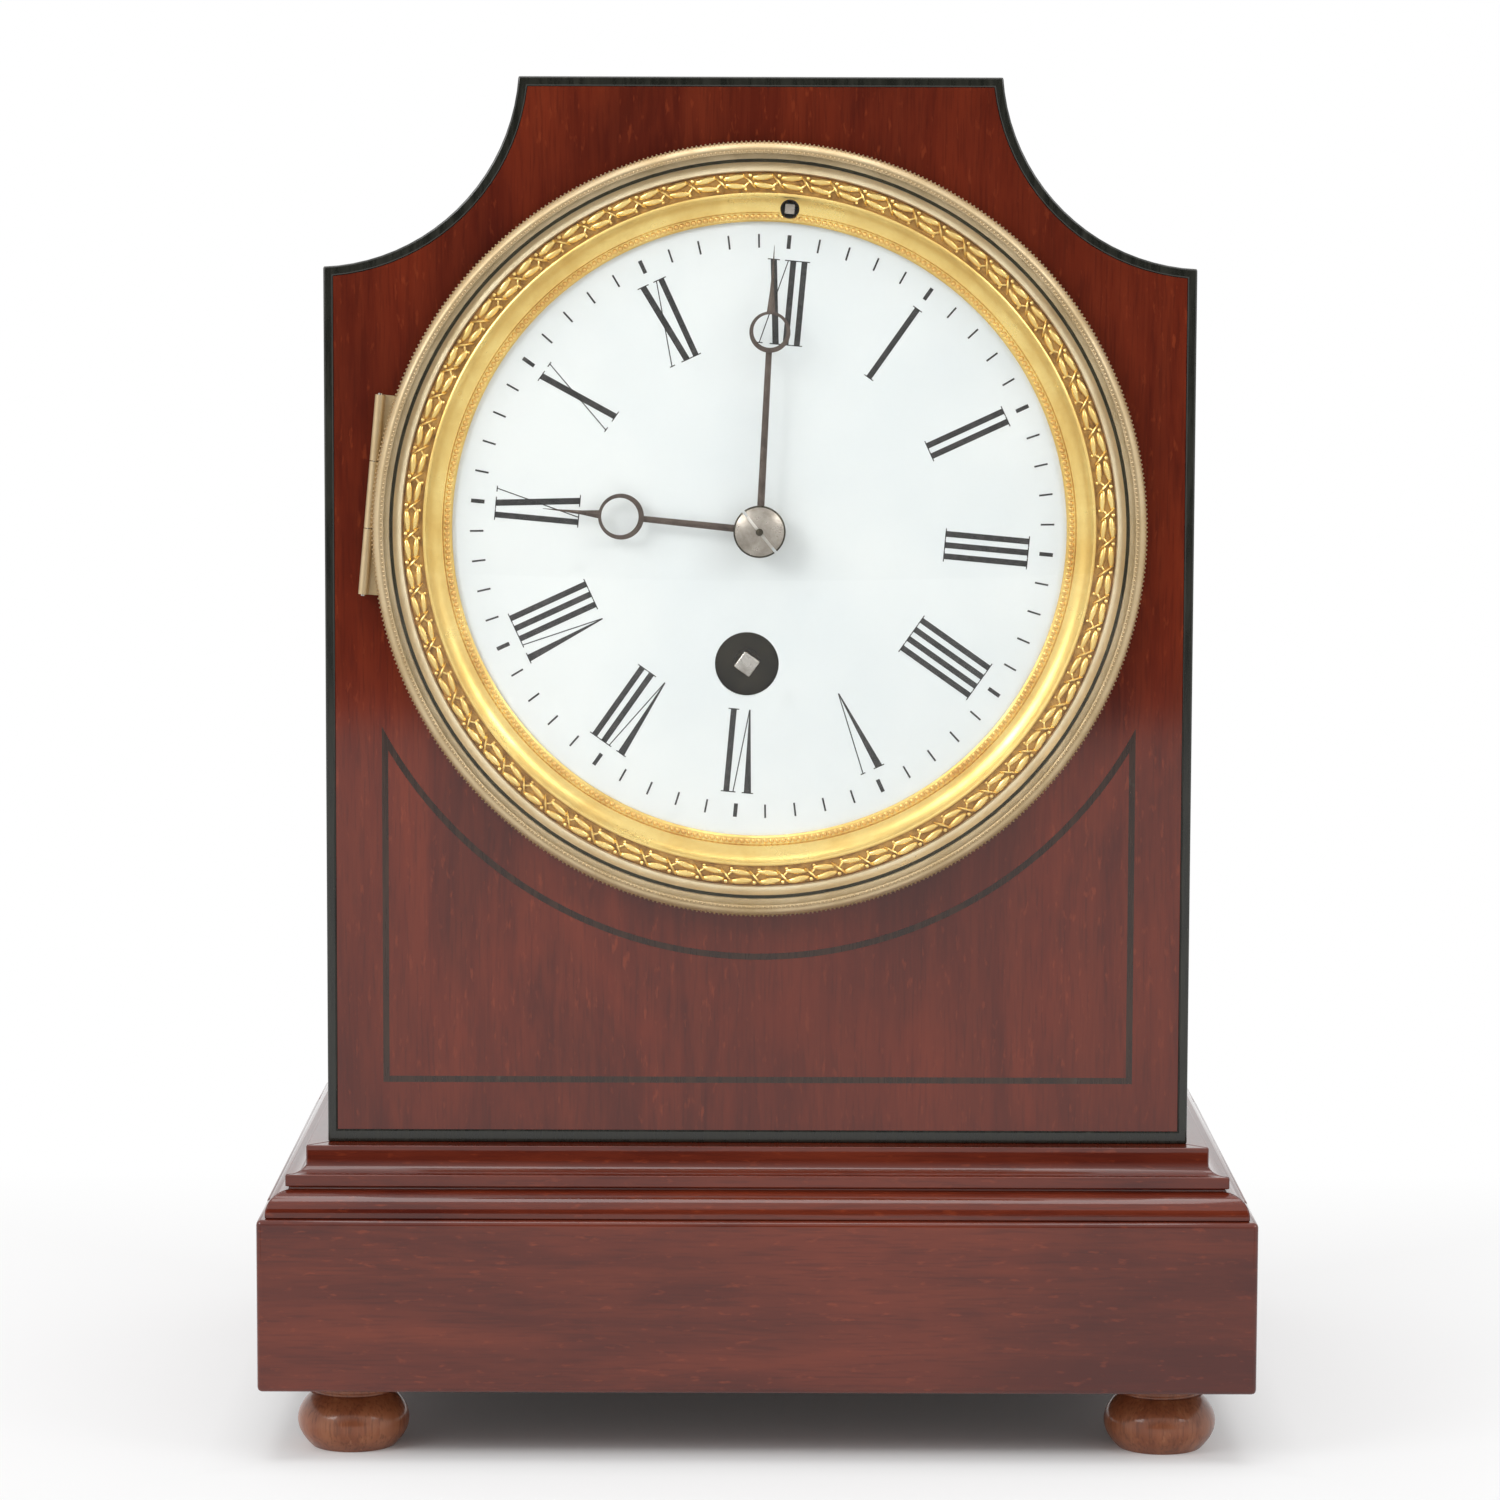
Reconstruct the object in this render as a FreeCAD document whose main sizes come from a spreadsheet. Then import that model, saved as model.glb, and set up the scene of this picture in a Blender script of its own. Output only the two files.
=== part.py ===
import FreeCAD, Part
import Sketcher
import math
import os
import re

# A small clock in a shouldered wooden case. X is to the right, Y to the back, Z up, and the
# origin is on the standing surface under the middle of the plinth. Sizes are in millimetres.
# The round dial, its bezel and the movement share one axis along Y and sit a few degrees
# turned in the case, so they are drawn about that axis (X right, Z up) and then placed by "drum".

doc = FreeCAD.newDocument("BracketClock")
sheet = doc.addObject("Spreadsheet::Sheet", "Sizes")
V = FreeCAD.Vector

sizes = {
    # case
    "caseWidth": 165.44,
    "caseDepth": 130.44,
    "caseRise": 203.65,
    "wall": 7.0,
    "shoulderRadius": 38.7,
    "shoulderOut": 1.58,
    "shoulderUp": 2.83,
    # plinth and feet
    "plinthOverhang": 12.78,
    "plinthRise": 33.35,
    "railThickness": 22.0,
    "boardThickness": 6.0,
    "mouldingRise": 12.93,
    "footHeight": 13.84,
    "footRadius": 10.9,
    "footInset": 17.1,
    # stringing
    "edgeStringing": 1.9,
    "footStringing": 2.5,
    "panelInset": 10.72,
    "panelFoot": 11.7,
    "panelLine": 1.2,
    "panelReach": 9.25,
    "panelArc": "=caseWidth / 2 - panelInset + panelReach",
    "inlayDepth": 1.2,
    # dial
    "dialHeight": 178.2,
    "dialTilt": 5.2,
    "dialRadius": 60.6,
    "dialThickness": 1.2,
    "dialRecess": 0.8,
    "sightLap": 2.2,
    "sightRadius": "=dialRadius - sightLap",
    "bezelRadius": 73.4,
    "ringRadius": 69.6,
    "bezelBore": 71.2,
    "bezelGap": 0.3,
    "flangeThickness": 1.2,
    "holeRadius": 66.0,
    "skirtRadius": 64.8,
    "skirtWall": 1.8,
    "lipBore": 54.0,
    "glassRadius": 72.0,
    "glassThickness": 1.4,
    "glassRise": 7.0,
    "windingHole": 6.1,
    "regulatorHole": 1.8,
    "regulatorRise": 61.0,
    "hingeLength": 38.0,
    "knuckleRadius": 0.95,
    "hingePin": 0.45,
    # hands
    "minuteLength": 54.0,
    "minuteRing": 37.7,
    "minuteRingRadius": 3.65,
    "minuteAngle": 2.8,
    "hourLength": 41.5,
    "hourRing": 26.4,
    "hourRingRadius": 4.3,
    "hourAngle": 275.8,
    "handThickness": 0.5,
    "nutRadius": 5.2,
    "arborEnd": 1.1,
    # movement
    "plateSetback": 9.2,
    "plateThickness": 2.0,
    "plateSpacing": 30.0,
    "frontPlateRadius": 58.0,
    "backPlateRadius": 52.0,
    "barrelDrop": 25.6,
    "escapeRise": 28.5,
    "palletRise": 44.0,
    "pillarRadius": 3.0,
    "barrelModule": 0.512,
    "centreModule": 0.52,
    "thirdModule": 0.4,
    "escapeModule": 0.36,
    "motionModule": 0.5,
    "regulatorModule": 0.4,
    "arborRadius": 0.9,
    "pivotRadius": 0.6,
    "barrelArborRadius": 2.4,
    "barrelPivotRadius": 1.4,
    "cannonPipeRadius": 1.3,
    "studRadius": 0.8,
    "mainspringTurns": 7,
    "runningFit": 0.05,
    "windingSquare": 3.65,
    "ratchetRadius": 8.0,
    "escapeRadius": 10.0,
    # pendulum
    "pendulumLength": 150.0,
    "bobRadius": 11.0,
    "bobThickness": 5.0,
    "rodWidth": 2.0,
    "forkClearance": 0.25,
    "threadRadius": 0.75,
    "suspensionLength": 9.0,
    "slideHalfWidth": 2.4,
    "slideClearance": 0.06,
    # back
    "rearRadius": 66.0,
    "rearHole": 63.2,
    "rearSkirt": 62.6,
    "coverRadius": 64.0,
    "coverDepth": 3.0,
    "coverWall": 1.0,
    "knobRadius": 2.2,
    "rearHingeLength": 24.0,
    "strapRadius": 59.2,
    "strapWidth": 9.0,
    "strapThickness": 1.0,
}

for row, (alias, size) in enumerate(sizes.items(), start=1):
    sheet.set("A%d" % row, alias)
    sheet.set("B%d" % row, str(size))
    sheet.setAlias("B%d" % row, alias)
doc.recompute()

# tooth counts: each wheel and the pinion that it drives
teeth = {
    "barrel": 84,
    "secondPinion": 12,
    "second": 72,
    "centrePinion": 12,
    "centre": 96,
    "thirdPinion": 8,
    "third": 96,
    "escapePinion": 8,
    "escape": 32,
    "cannon": 12,
    "minuteWork": 36,
    "minutePinion": 10,
    "hour": 40,
    "ratchet": 24,
    "regulator": 10,
}

parts = []


def get(alias):
    return float(sheet.get(alias))


def bound(text):
    """An expression in which each size name points to its cell."""
    return re.sub(
        r"[A-Za-z]\w*",
        lambda word: "Sizes." + word.group() if word.group() in sizes else word.group(),
        text,
    )


def value(text):
    return float(sheet.evalExpression(bound(text)))


def keep(item, label, placement=None):
    item.Label = label
    if placement is not None:
        item.Placement = placement
    parts.append(item)
    return item


def solid(label, shape, placement=None):
    item = doc.addObject("Part::Feature", label)
    item.Shape = shape
    return keep(item, label, placement)


def box(label, corner, lengths):
    item = doc.addObject("Part::Box", label)
    for key, text in zip(("Length", "Width", "Height"), lengths):
        item.setExpression(key, bound(text))
    for key, text in zip("xyz", corner):
        item.setExpression("Placement.Base." + key, bound(text))
    return keep(item, label)


def origin_plane(body, role):
    return next(feature for feature in body.Origin.OriginFeatures if feature.Role == role)


def outline(body, name, role, corners):
    """A closed sketch. A corner is (x, y), or (x, y, radius, side) where an arc leaves it; 1 bulges left."""
    sketch = body.newObject("Sketcher::SketchObject", name)
    sketch.AttachmentSupport = [(origin_plane(body, role), "")]
    sketch.MapMode = "FlatFace"
    places = [V(value(corner[0]), value(corner[1]), 0) for corner in corners]
    for index, corner in enumerate(corners):
        start = places[index]
        end = places[(index + 1) % len(corners)]
        if len(corner) == 2:
            sketch.addGeometry(Part.LineSegment(start, end), False)
            continue
        radius = value(corner[2])
        run = end - start
        bulge = radius - math.sqrt(radius ** 2 - run.Length ** 2 / 4)
        left = V(-run.y, run.x, 0).normalize()
        middle = (start + end) / 2 + left * bulge * corner[3]
        sketch.addGeometry(Part.Arc(start, middle, end), False)
    for index, corner in enumerate(corners):
        following = (index + 1) % len(corners)
        # an arc drawn clockwise is stored with its ends swapped
        swapped = len(corner) == 4 and corner[3] == 1
        after_swapped = len(corners[following]) == 4 and corners[following][3] == 1
        sketch.addConstraint(
            Sketcher.Constraint(
                "Coincident",
                index,
                1 if swapped else 2,
                following,
                2 if after_swapped else 1,
            )
        )
        point = 2 if swapped else 1
        for kind, text, size in (
            ("DistanceX", corner[0], places[index].x),
            ("DistanceY", corner[1], places[index].y),
        ):
            number = sketch.addConstraint(Sketcher.Constraint(kind, -1, 1, index, point, size))
            sketch.setExpression("Constraints[%d]" % number, bound(text))
        if len(corner) == 4:
            number = sketch.addConstraint(Sketcher.Constraint("Radius", index, value(corner[2])))
            sketch.setExpression("Constraints[%d]" % number, bound(corner[2]))
    return sketch


def circles(body, name, role, spots):
    """A sketch of circles, each (x, y, radius)."""
    sketch = body.newObject("Sketcher::SketchObject", name)
    sketch.AttachmentSupport = [(origin_plane(body, role), "")]
    sketch.MapMode = "FlatFace"
    for index, (x, y, radius) in enumerate(spots):
        sketch.addGeometry(Part.Circle(V(value(x), value(y), 0), V(0, 0, 1), value(radius)), False)
        for kind, text, point in (("DistanceX", x, value(x)), ("DistanceY", y, value(y))):
            number = sketch.addConstraint(Sketcher.Constraint(kind, -1, 1, index, 3, point))
            sketch.setExpression("Constraints[%d]" % number, bound(text))
        number = sketch.addConstraint(Sketcher.Constraint("Radius", index, value(radius)))
        sketch.setExpression("Constraints[%d]" % number, bound(radius))
    return sketch


def turned(label, corners, placement=None, role="YZ_Plane", axis="H_Axis"):
    """A turned piece: (depth, radius) about the clock's Y axis, or (radius, height) about Z."""
    body = doc.addObject("PartDesign::Body", label)
    sketch = outline(body, label + "_profile", role, corners)
    spin = body.newObject("PartDesign::Revolution", label + "_turning")
    spin.Profile = sketch
    spin.ReferenceAxis = (sketch, [axis])
    spin.Angle = 360
    return keep(body, label, placement)


def panel(label, corners, thickness, front, placement=None, holes=()):
    """A flat piece drawn as seen from the front, its front face at the depth "front"."""
    body = doc.addObject("PartDesign::Body", label)
    pad = body.newObject("PartDesign::Pad", label + "_board")
    pad.Profile = outline(body, label + "_outline", "XZ_Plane", corners)
    pad.setExpression("Length", bound(thickness))
    pad.Reversed = True
    if holes:
        cut = body.newObject("PartDesign::Pocket", label + "_holes")
        cut.Profile = circles(body, label + "_circles", "XZ_Plane", holes)
        cut.Type = "ThroughAll"
        cut.Midplane = True
    place = FreeCAD.Placement(V(0, value(front), 0), FreeCAD.Rotation())
    return keep(body, label, placement.multiply(place) if placement else place)


# ---- shapes along the dial axis, drawn in X and Z at a given depth

drum = FreeCAD.Placement(V(0, 0, get("dialHeight")), FreeCAD.Rotation(V(0, 1, 0), get("dialTilt")))
depth = V(0, 1, 0)


def rod(radius, low, high, x=0.0, z=0.0):
    return Part.makeCylinder(radius, high - low, V(x, low, z), depth)


def block(x0, x1, y0, y1, z0, z1):
    return Part.makeBox(x1 - x0, y1 - y0, z1 - z0, V(x0, y0, z0))


def plate_of(points, low, high):
    corners = [V(x, low, z) for x, z in points]
    return Part.Face(Part.makePolygon(corners + corners[:1])).extrude(V(0, high - low, 0))


def joined(shapes):
    return shapes[0].fuse(shapes[1:]).removeSplitter()


def turn(shape, degrees, x=0.0, z=0.0):
    """Clockwise, as seen from the front."""
    shape.rotate(V(x, 0, z), depth, degrees)
    return shape


# ---- places and fits worked out from the sizes

caseFront = -get("caseDepth") / 2
caseBack = -caseFront
plinthTop = get("footHeight") + get("plinthRise")
caseFoot = plinthTop + get("mouldingRise")
dialBack = caseFront + get("dialRecess") + get("flangeThickness")
dialFace = dialBack - get("dialThickness")
flangeFace = caseFront - get("flangeThickness")
bezelBack = flangeFace - get("bezelGap")
plateFront = caseFront + get("plateSetback")
plateBack = plateFront + get("plateThickness")
rearPlate = plateBack + get("plateSpacing")
rearPlateBack = rearPlate + get("plateThickness")
fit = get("runningFit")

case_foot = "footHeight + plinthRise + mouldingRise"
case_half = "caseWidth / 2"


def case_outline(inset, foot):
    """Corners of the case front, drawn in from its edge by "inset", and from its foot by "foot"."""
    half = "caseWidth / 2 - (%s)" % inset
    top = case_foot + " + caseRise - (%s)" % inset
    radius = "shoulderRadius + (%s)" % inset
    centre_x = "caseWidth / 2 + shoulderOut"
    centre_z = case_foot + " + caseRise + shoulderUp"
    neck = "%s - sqrt((%s)^2 - (shoulderUp + (%s))^2)" % (centre_x, radius, inset)
    end = "%s - sqrt((%s)^2 - (shoulderOut + (%s))^2)" % (centre_z, radius, inset)
    bottom = case_foot + " + (%s)" % foot
    return [
        ("-(%s)" % half, bottom),
        (half, bottom),
        (half, end, radius, 1),
        (neck, top),
        ("-(%s)" % neck, top, radius, 1),
        ("-(%s)" % half, end),
    ]


def face_of(corners):
    """A flat face in X and Z from the same kind of corners as a sketch."""
    places = [V(value(corner[0]), 0, value(corner[1])) for corner in corners]
    edges = []
    for index, corner in enumerate(corners):
        start = places[index]
        end = places[(index + 1) % len(places)]
        if len(corner) == 2:
            edges.append(Part.LineSegment(start, end).toShape())
            continue
        radius = value(corner[2])
        run = end - start
        bulge = radius - math.sqrt(radius ** 2 - run.Length ** 2 / 4)
        left = V(-run.z, 0, run.x).normalize()
        edges.append(Part.Arc(start, (start + end) / 2 + left * bulge * corner[3], end).toShape())
    return Part.Face(Part.Wire(edges))


def slab(corners, low, high):
    shape = face_of(corners).extrude(V(0, high - low, 0))
    shape.translate(V(0, low, 0))
    return shape


def panel_line(inset):
    """The inlaid line: straight at the sides and foot, hollow along the dial."""
    side = "caseWidth / 2 - panelInset - (%s)" % inset
    low = case_foot + " + panelFoot + (%s)" % inset
    radius = "panelArc + (%s)" % inset
    end = "dialHeight - sqrt((%s)^2 - (%s)^2)" % (radius, side)
    return [
        ("-(%s)" % side, low),
        (side, low),
        (side, end, radius, 1),
        ("-(%s)" % side, end),
    ]


# ---- plinth and case


def build_feet():
    x = get("caseWidth") / 2 + get("plinthOverhang") - get("footInset")
    y = get("caseDepth") / 2 + get("plinthOverhang") - get("footInset")
    for name, side, end in (
        ("foot_front_left", -1, -1),
        ("foot_front_right", 1, -1),
        ("foot_back_left", -1, 1),
        ("foot_back_right", 1, 1),
    ):
        corners = [
            ("0", "0"),
            ("footRadius * 0.72", "0", "footRadius * 0.8", -1),
            ("footRadius * 0.72", "footHeight * 0.9"),
            ("footRadius * 0.72", "footHeight"),
            ("0", "footHeight"),
        ]
        turned(
            name,
            corners,
            FreeCAD.Placement(V(side * x, end * y, 0), FreeCAD.Rotation()),
            "XZ_Plane",
            "V_Axis",
        )


def build_plinth():
    half = "(caseWidth / 2 + plinthOverhang)"
    deep = "(caseDepth / 2 + plinthOverhang)"
    wide = "caseWidth + 2 * plinthOverhang"
    box("plinth_front", ("-" + half, "-" + deep, "footHeight"), (wide, "railThickness", "plinthRise"))
    box(
        "plinth_back",
        ("-" + half, deep + " - railThickness", "footHeight"),
        (wide, "railThickness", "plinthRise"),
    )
    side = "caseDepth + 2 * plinthOverhang - 2 * railThickness"
    corner = "-" + deep + " + railThickness"
    box("plinth_left", ("-" + half, corner, "footHeight"), ("railThickness", side, "plinthRise"))
    box(
        "plinth_right",
        (half + " - railThickness", corner, "footHeight"),
        ("railThickness", side, "plinthRise"),
    )
    box(
        "base_board",
        ("-caseWidth / 2 + wall", "-caseDepth / 2 + wall", "footHeight + plinthRise"),
        ("caseWidth - 2 * wall", "caseDepth - 2 * wall", "boardThickness"),
    )


def moulding_profile():
    """Closed section: u outward from the case side, w up from the plinth top."""
    rise = get("mouldingRise")
    reach = get("plinthOverhang")
    inner = -get("wall")
    ledge = rise * 0.71
    bead_top = rise * 0.61
    bead_foot = rise * 0.43
    ogee_top = rise * 0.38
    ogee_foot = rise * 0.07
    step = reach * 0.305
    cove = reach * 0.55
    bead = reach * 0.595
    fillet = reach * 0.54
    toe = reach * 0.88
    points = [V(inner, 0, 0), V(toe, 0, 0), V(toe, 0, ogee_foot)]
    edges = [Part.LineSegment(a, b).toShape() for a, b in zip(points, points[1:])]
    hip = V(toe - (toe - fillet) * 0.29, 0, ogee_top - (ogee_top - ogee_foot) * 0.29)
    edges.append(Part.Arc(points[-1], hip, V(fillet, 0, ogee_top)).toShape())
    more = [
        V(fillet, 0, ogee_top),
        V(fillet, 0, bead_foot),
        V(bead, 0, bead_foot),
        V(bead, 0, bead_top),
        V(cove, 0, bead_top),
    ]
    edges += [Part.LineSegment(a, b).toShape() for a, b in zip(more, more[1:])]
    hollow = V(step + (cove - step) * 0.3, 0, bead_top + (ledge - bead_top) * 0.3)
    edges.append(Part.Arc(more[-1], hollow, V(step, 0, ledge)).toShape())
    last = [V(step, 0, ledge), V(step, 0, rise), V(inner, 0, rise), points[0]]
    edges += [Part.LineSegment(a, b).toShape() for a, b in zip(last, last[1:])]
    return Part.Face(Part.Wire(edges))


def build_mouldings():
    reach = get("plinthOverhang")
    wall = get("wall")
    for name, half, across, quarter in (
        ("moulding_front", get("caseWidth") / 2, get("caseDepth") / 2, 0),
        ("moulding_right", get("caseDepth") / 2, get("caseWidth") / 2, 1),
        ("moulding_back", get("caseWidth") / 2, get("caseDepth") / 2, 2),
        ("moulding_left", get("caseDepth") / 2, get("caseWidth") / 2, 3),
    ):
        outer = half + reach
        inner = half - wall
        strip = moulding_profile()
        strip.rotate(V(0, 0, 0), V(0, 0, 1), -90)
        strip.translate(V(-outer, -across, 0))
        strip = strip.extrude(V(2 * outer, 0, 0))
        mitre = [
            V(-outer, -across - reach, 0),
            V(outer, -across - reach, 0),
            V(inner, -across + wall, 0),
            V(-inner, -across + wall, 0),
        ]
        wedge = Part.Face(Part.makePolygon(mitre + mitre[:1])).extrude(V(0, 0, get("mouldingRise")))
        strip = strip.common(wedge)
        strip.translate(V(0, 0, plinthTop))
        strip.rotate(V(0, 0, 0), V(0, 0, 1), 90 * quarter)
        solid(name, strip)


def build_case():
    front = slab(case_outline("0", "0"), caseFront, caseFront + get("wall"))
    depth_of_line = get("inlayDepth")
    edge = slab(case_outline("0", "0"), caseFront, caseFront + get("edgeStringing")).cut(
        slab(case_outline("edgeStringing", "footStringing"), caseFront, caseFront + get("edgeStringing"))
    )
    line = slab(panel_line("0"), caseFront, caseFront + depth_of_line).cut(
        slab(panel_line("panelLine"), caseFront, caseFront + depth_of_line)
    )
    hole = rod(get("holeRadius"), caseFront - 1, caseFront + get("wall") + 1, 0, get("dialHeight"))
    solid("front_panel", front.cut([edge, line, hole]))
    solid("edge_stringing", edge)
    solid("panel_stringing", line)
    panel(
        "back_panel",
        case_outline("0", "0"),
        "wall",
        "caseDepth / 2 - wall",
        holes=[("0", "dialHeight", "rearHole")],
    )
    side_top = case_foot + " + caseRise + shoulderUp - sqrt((shoulderRadius + wall)^2 - (shoulderOut + wall)^2)"
    side_rise = "caseRise + shoulderUp - sqrt((shoulderRadius + wall)^2 - (shoulderOut + wall)^2)"
    neck = "(caseWidth / 2 + shoulderOut - sqrt((shoulderRadius + wall)^2 - (shoulderUp + wall)^2))"
    deep = "caseDepth - 2 * wall"
    box("side_left", ("-caseWidth / 2", "-caseDepth / 2 + wall", case_foot), ("wall", deep, side_rise))
    box(
        "side_right",
        ("caseWidth / 2 - wall", "-caseDepth / 2 + wall", case_foot),
        ("wall", deep, side_rise),
    )
    box(
        "top_board",
        ("-" + neck, "-caseDepth / 2 + wall", case_foot + " + caseRise - wall"),
        ("2 * " + neck, deep, "wall"),
    )
    outer = case_outline("0", "0")
    inner = case_outline("wall", "0")
    right = [
        (case_half, side_top),
        outer[2],
        outer[3],
        (neck, case_foot + " + caseRise"),
        (neck, case_foot + " + caseRise - wall", "shoulderRadius + wall", -1),
        (inner[2][0], side_top),
    ]
    left = [
        ("-(%s)" % corner[0],) + tuple(corner[1:3]) + tuple(-turned_side for turned_side in corner[3:])
        for corner in right
    ]
    panel("shoulder_right", right, deep, "-caseDepth / 2 + wall")
    panel("shoulder_left", left, deep, "-caseDepth / 2 + wall")


# ---- dial, bezel and hinges


def hinge_knuckle(x, y, low, high):
    return Part.makeCylinder(get("knuckleRadius"), high - low, V(x, y, low), V(0, 0, 1))


def build_dial():
    ring = [
        (flangeFace, get("bezelRadius") - 0.8),
        (flangeFace, get("dialRadius") + 0.6),
        (dialBack, get("dialRadius") + 0.6),
        (dialBack, get("sightRadius")),
        (dialBack + 1.5, get("sightRadius")),
        (dialBack + 1.5, get("skirtRadius") - get("skirtWall")),
        (plateFront - 1.5, get("skirtRadius") - get("skirtWall")),
        (plateFront - 1.5, get("lipBore")),
        (plateFront, get("lipBore")),
        (plateFront, get("skirtRadius")),
        (caseFront, get("skirtRadius")),
        (caseFront, get("bezelRadius") - 0.8),
    ]
    wire = Part.makePolygon([V(0, y, r) for y, r in ring + ring[:1]])
    shape = Part.Face(wire).revolve(V(0, 0, 0), depth, 360)
    reach = hinge_x()
    half = get("hingeLength") / 2
    middle = half / 3
    for low, high in ((-half, -middle - 0.15), (middle + 0.15, half)):
        leaf = block(reach, reach + 8, flangeFace, caseFront, low, high)
        shape = shape.fuse([leaf, hinge_knuckle(reach, hinge_y(), low, high)])
    pin = Part.makeCylinder(get("hingePin") + fit, 2 * half, V(reach, hinge_y(), -half), V(0, 0, 1))
    key = rod(get("regulatorHole"), caseFront - 8, plateFront - 1.6, 0, get("regulatorRise"))
    shape = shape.cut([
        pin,
        key,
        rod(get("regulatorHole"), plateFront - 1.7, plateFront + 1, 0, get("regulatorRise")),
    ])
    solid("front_ring", shape.removeSplitter(), drum)
    pin = Part.makeCylinder(get("hingePin"), 2 * half + 0.6, V(reach, hinge_y(), -half - 0.3), V(0, 0, 1))
    solid("hinge_pin", pin, drum)
    dial = rod(get("dialRadius"), dialFace, dialBack)
    holes = [
        rod(get("windingHole"), dialFace - 1, dialBack + 1, 0, -get("barrelDrop")),
        rod(3.0, dialFace - 1, dialBack + 1),
        key,
    ]
    solid("enamel_dial", dial.cut(holes), drum)
    inner = get("sightRadius")
    outer = get("ringRadius")
    sight = [
        V(0, dialFace, inner),
        V(0, dialFace - 1.2, inner),
        V(0, dialFace - 1.2, inner + 1.6),
        V(0, dialFace - 1.9, inner + 1.8),
        V(0, dialFace - 3.6, inner + 4.9),
        V(0, dialFace - 3.6, inner + 5.1),
        V(0, dialFace - 3.8, inner + 5.4),
        V(0, dialFace - 4.0, outer - 1.8),
        V(0, dialFace - 3.0, outer),
        V(0, flangeFace, outer),
        V(0, flangeFace, get("dialRadius") + 0.4),
        V(0, dialFace, get("dialRadius") + 0.4),
    ]
    edges = [Part.LineSegment(a, b).toShape() for a, b in zip(sight, sight[1:] + sight[:1])]
    hollow = (sight[3] + sight[4]) / 2 + V(0, 0.15, 0.1)
    edges[3] = Part.Arc(sight[3], hollow, sight[4]).toShape()
    crest = (sight[6] + sight[7]) / 2 - V(0, 0.55, 0)
    edges[6] = Part.Arc(sight[6], crest, sight[7]).toShape()
    shape = Part.Face(Part.Wire(edges)).revolve(V(0, 0, 0), depth, 360)
    solid("sight_ring", shape.cut(key), drum)


def hinge_x():
    return -(get("bezelRadius") + 0.5)


def hinge_y():
    return bezelBack - 0.2


def build_bezel():
    back = "-caseDepth / 2 - flangeThickness - bezelGap"
    corners = [
        (back, "bezelRadius"),
        (back, "glassRadius + 0.1"),
        (back + " - 3.3", "glassRadius + 0.1"),
        (back + " - 3.3", "bezelBore"),
        (back + " - 4.3", "bezelBore"),
        (back + " - 4.3", "bezelBore + 0.7"),
        (back + " - 4.0", "bezelBore + 0.8", "2.4", 1),
        (back + " - 2.0", "bezelRadius"),
    ]
    edges = []
    points = [V(0, value(corner[0]), value(corner[1])) for corner in corners]
    for corner, start, end in zip(corners, points, points[1:] + points[:1]):
        if len(corner) == 2:
            edges.append(Part.LineSegment(start, end).toShape())
            continue
        radius = value(corner[2])
        bulge = radius - math.sqrt(radius ** 2 - (end - start).Length ** 2 / 4)
        across = V(0, -(end - start).z, (end - start).y).normalize()
        edges.append(Part.Arc(start, (start + end) / 2 + across * bulge, end).toShape())
    shape = Part.Face(Part.Wire(edges)).revolve(V(0, 0, 0), depth, 360)
    half = get("hingeLength") / 2
    middle = half / 3
    relief = Part.makeCylinder(
        get("knuckleRadius") + 0.3,
        2 * half + 1,
        V(hinge_x(), hinge_y(), -half - 0.5),
        V(0, 0, 1),
    )
    leaf = block(hinge_x(), -get("glassRadius") - 0.15, bezelBack - 0.9, bezelBack, -middle, middle)
    knuckle = hinge_knuckle(hinge_x(), hinge_y(), -middle, middle)
    shape = shape.cut(relief).fuse([leaf, knuckle])
    pin = Part.makeCylinder(get("hingePin") + fit, 2 * half, V(hinge_x(), hinge_y(), -half), V(0, 0, 1))
    solid("bezel", shape.cut(pin).removeSplitter(), drum)
    rim = back + " - 1.9"
    turned(
        "glass_ring",
        [
            (rim, "glassRadius + 0.05"),
            (rim, "ringRadius + 0.6"),
            (back + " - 0.5", "ringRadius + 0.6"),
            (back + " - 0.5", "glassRadius + 0.05"),
        ],
        drum,
    )
    # the glass is domed: a thin shell between two equal balls, with a flat rim
    edge = get("bezelBore") - 0.8
    rise = get("glassRise")
    thick = get("glassThickness")
    seat = bezelBack - 1.9
    ball = (edge ** 2 + rise ** 2) / (2 * rise)
    apex = seat - rise - thick
    dome = Part.makeSphere(
        ball,
        V(0, apex + ball, 0),
    ).cut(Part.makeSphere(ball, V(0, apex + thick + ball, 0)))
    dome = dome.common(rod(edge, apex - 1, seat))
    rim_disc = rod(get("glassRadius"), seat - thick + 0.02, seat).cut(rod(edge, seat - thick - 1, seat + 1))
    solid("bezel_glass", dome.fuse(rim_disc), drum)


# ---- hands


def hand(length, ring, ring_radius, hub, bore, low, tail_width):
    high = low + get("handThickness")
    disc = rod(hub, low, high)
    shaft = plate_of(
        [(-0.72, 0), (0.72, 0), (0.45, ring - ring_radius + 0.4), (-0.45, ring - ring_radius + 0.4)],
        low,
        high,
    )
    moon = rod(ring_radius, low, high, 0, ring).cut(rod(ring_radius - 0.8, low - 1, high + 1, 0, ring))
    near = ring + ring_radius - 0.4
    tip = plate_of([(-tail_width, near), (tail_width, near), (0.12, length), (-0.12, length)], low, high)
    return joined([disc, shaft, moon, tip]).cut(rod(bore, low - 1, high + 1))


def hand_place(angle):
    """Turns a hand clockwise from straight up, in the case and not in the tilted drum."""
    return drum.multiply(FreeCAD.Placement(
        V(0, 0, 0),
        FreeCAD.Rotation(depth, get(angle) - get("dialTilt")),
    ))


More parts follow.
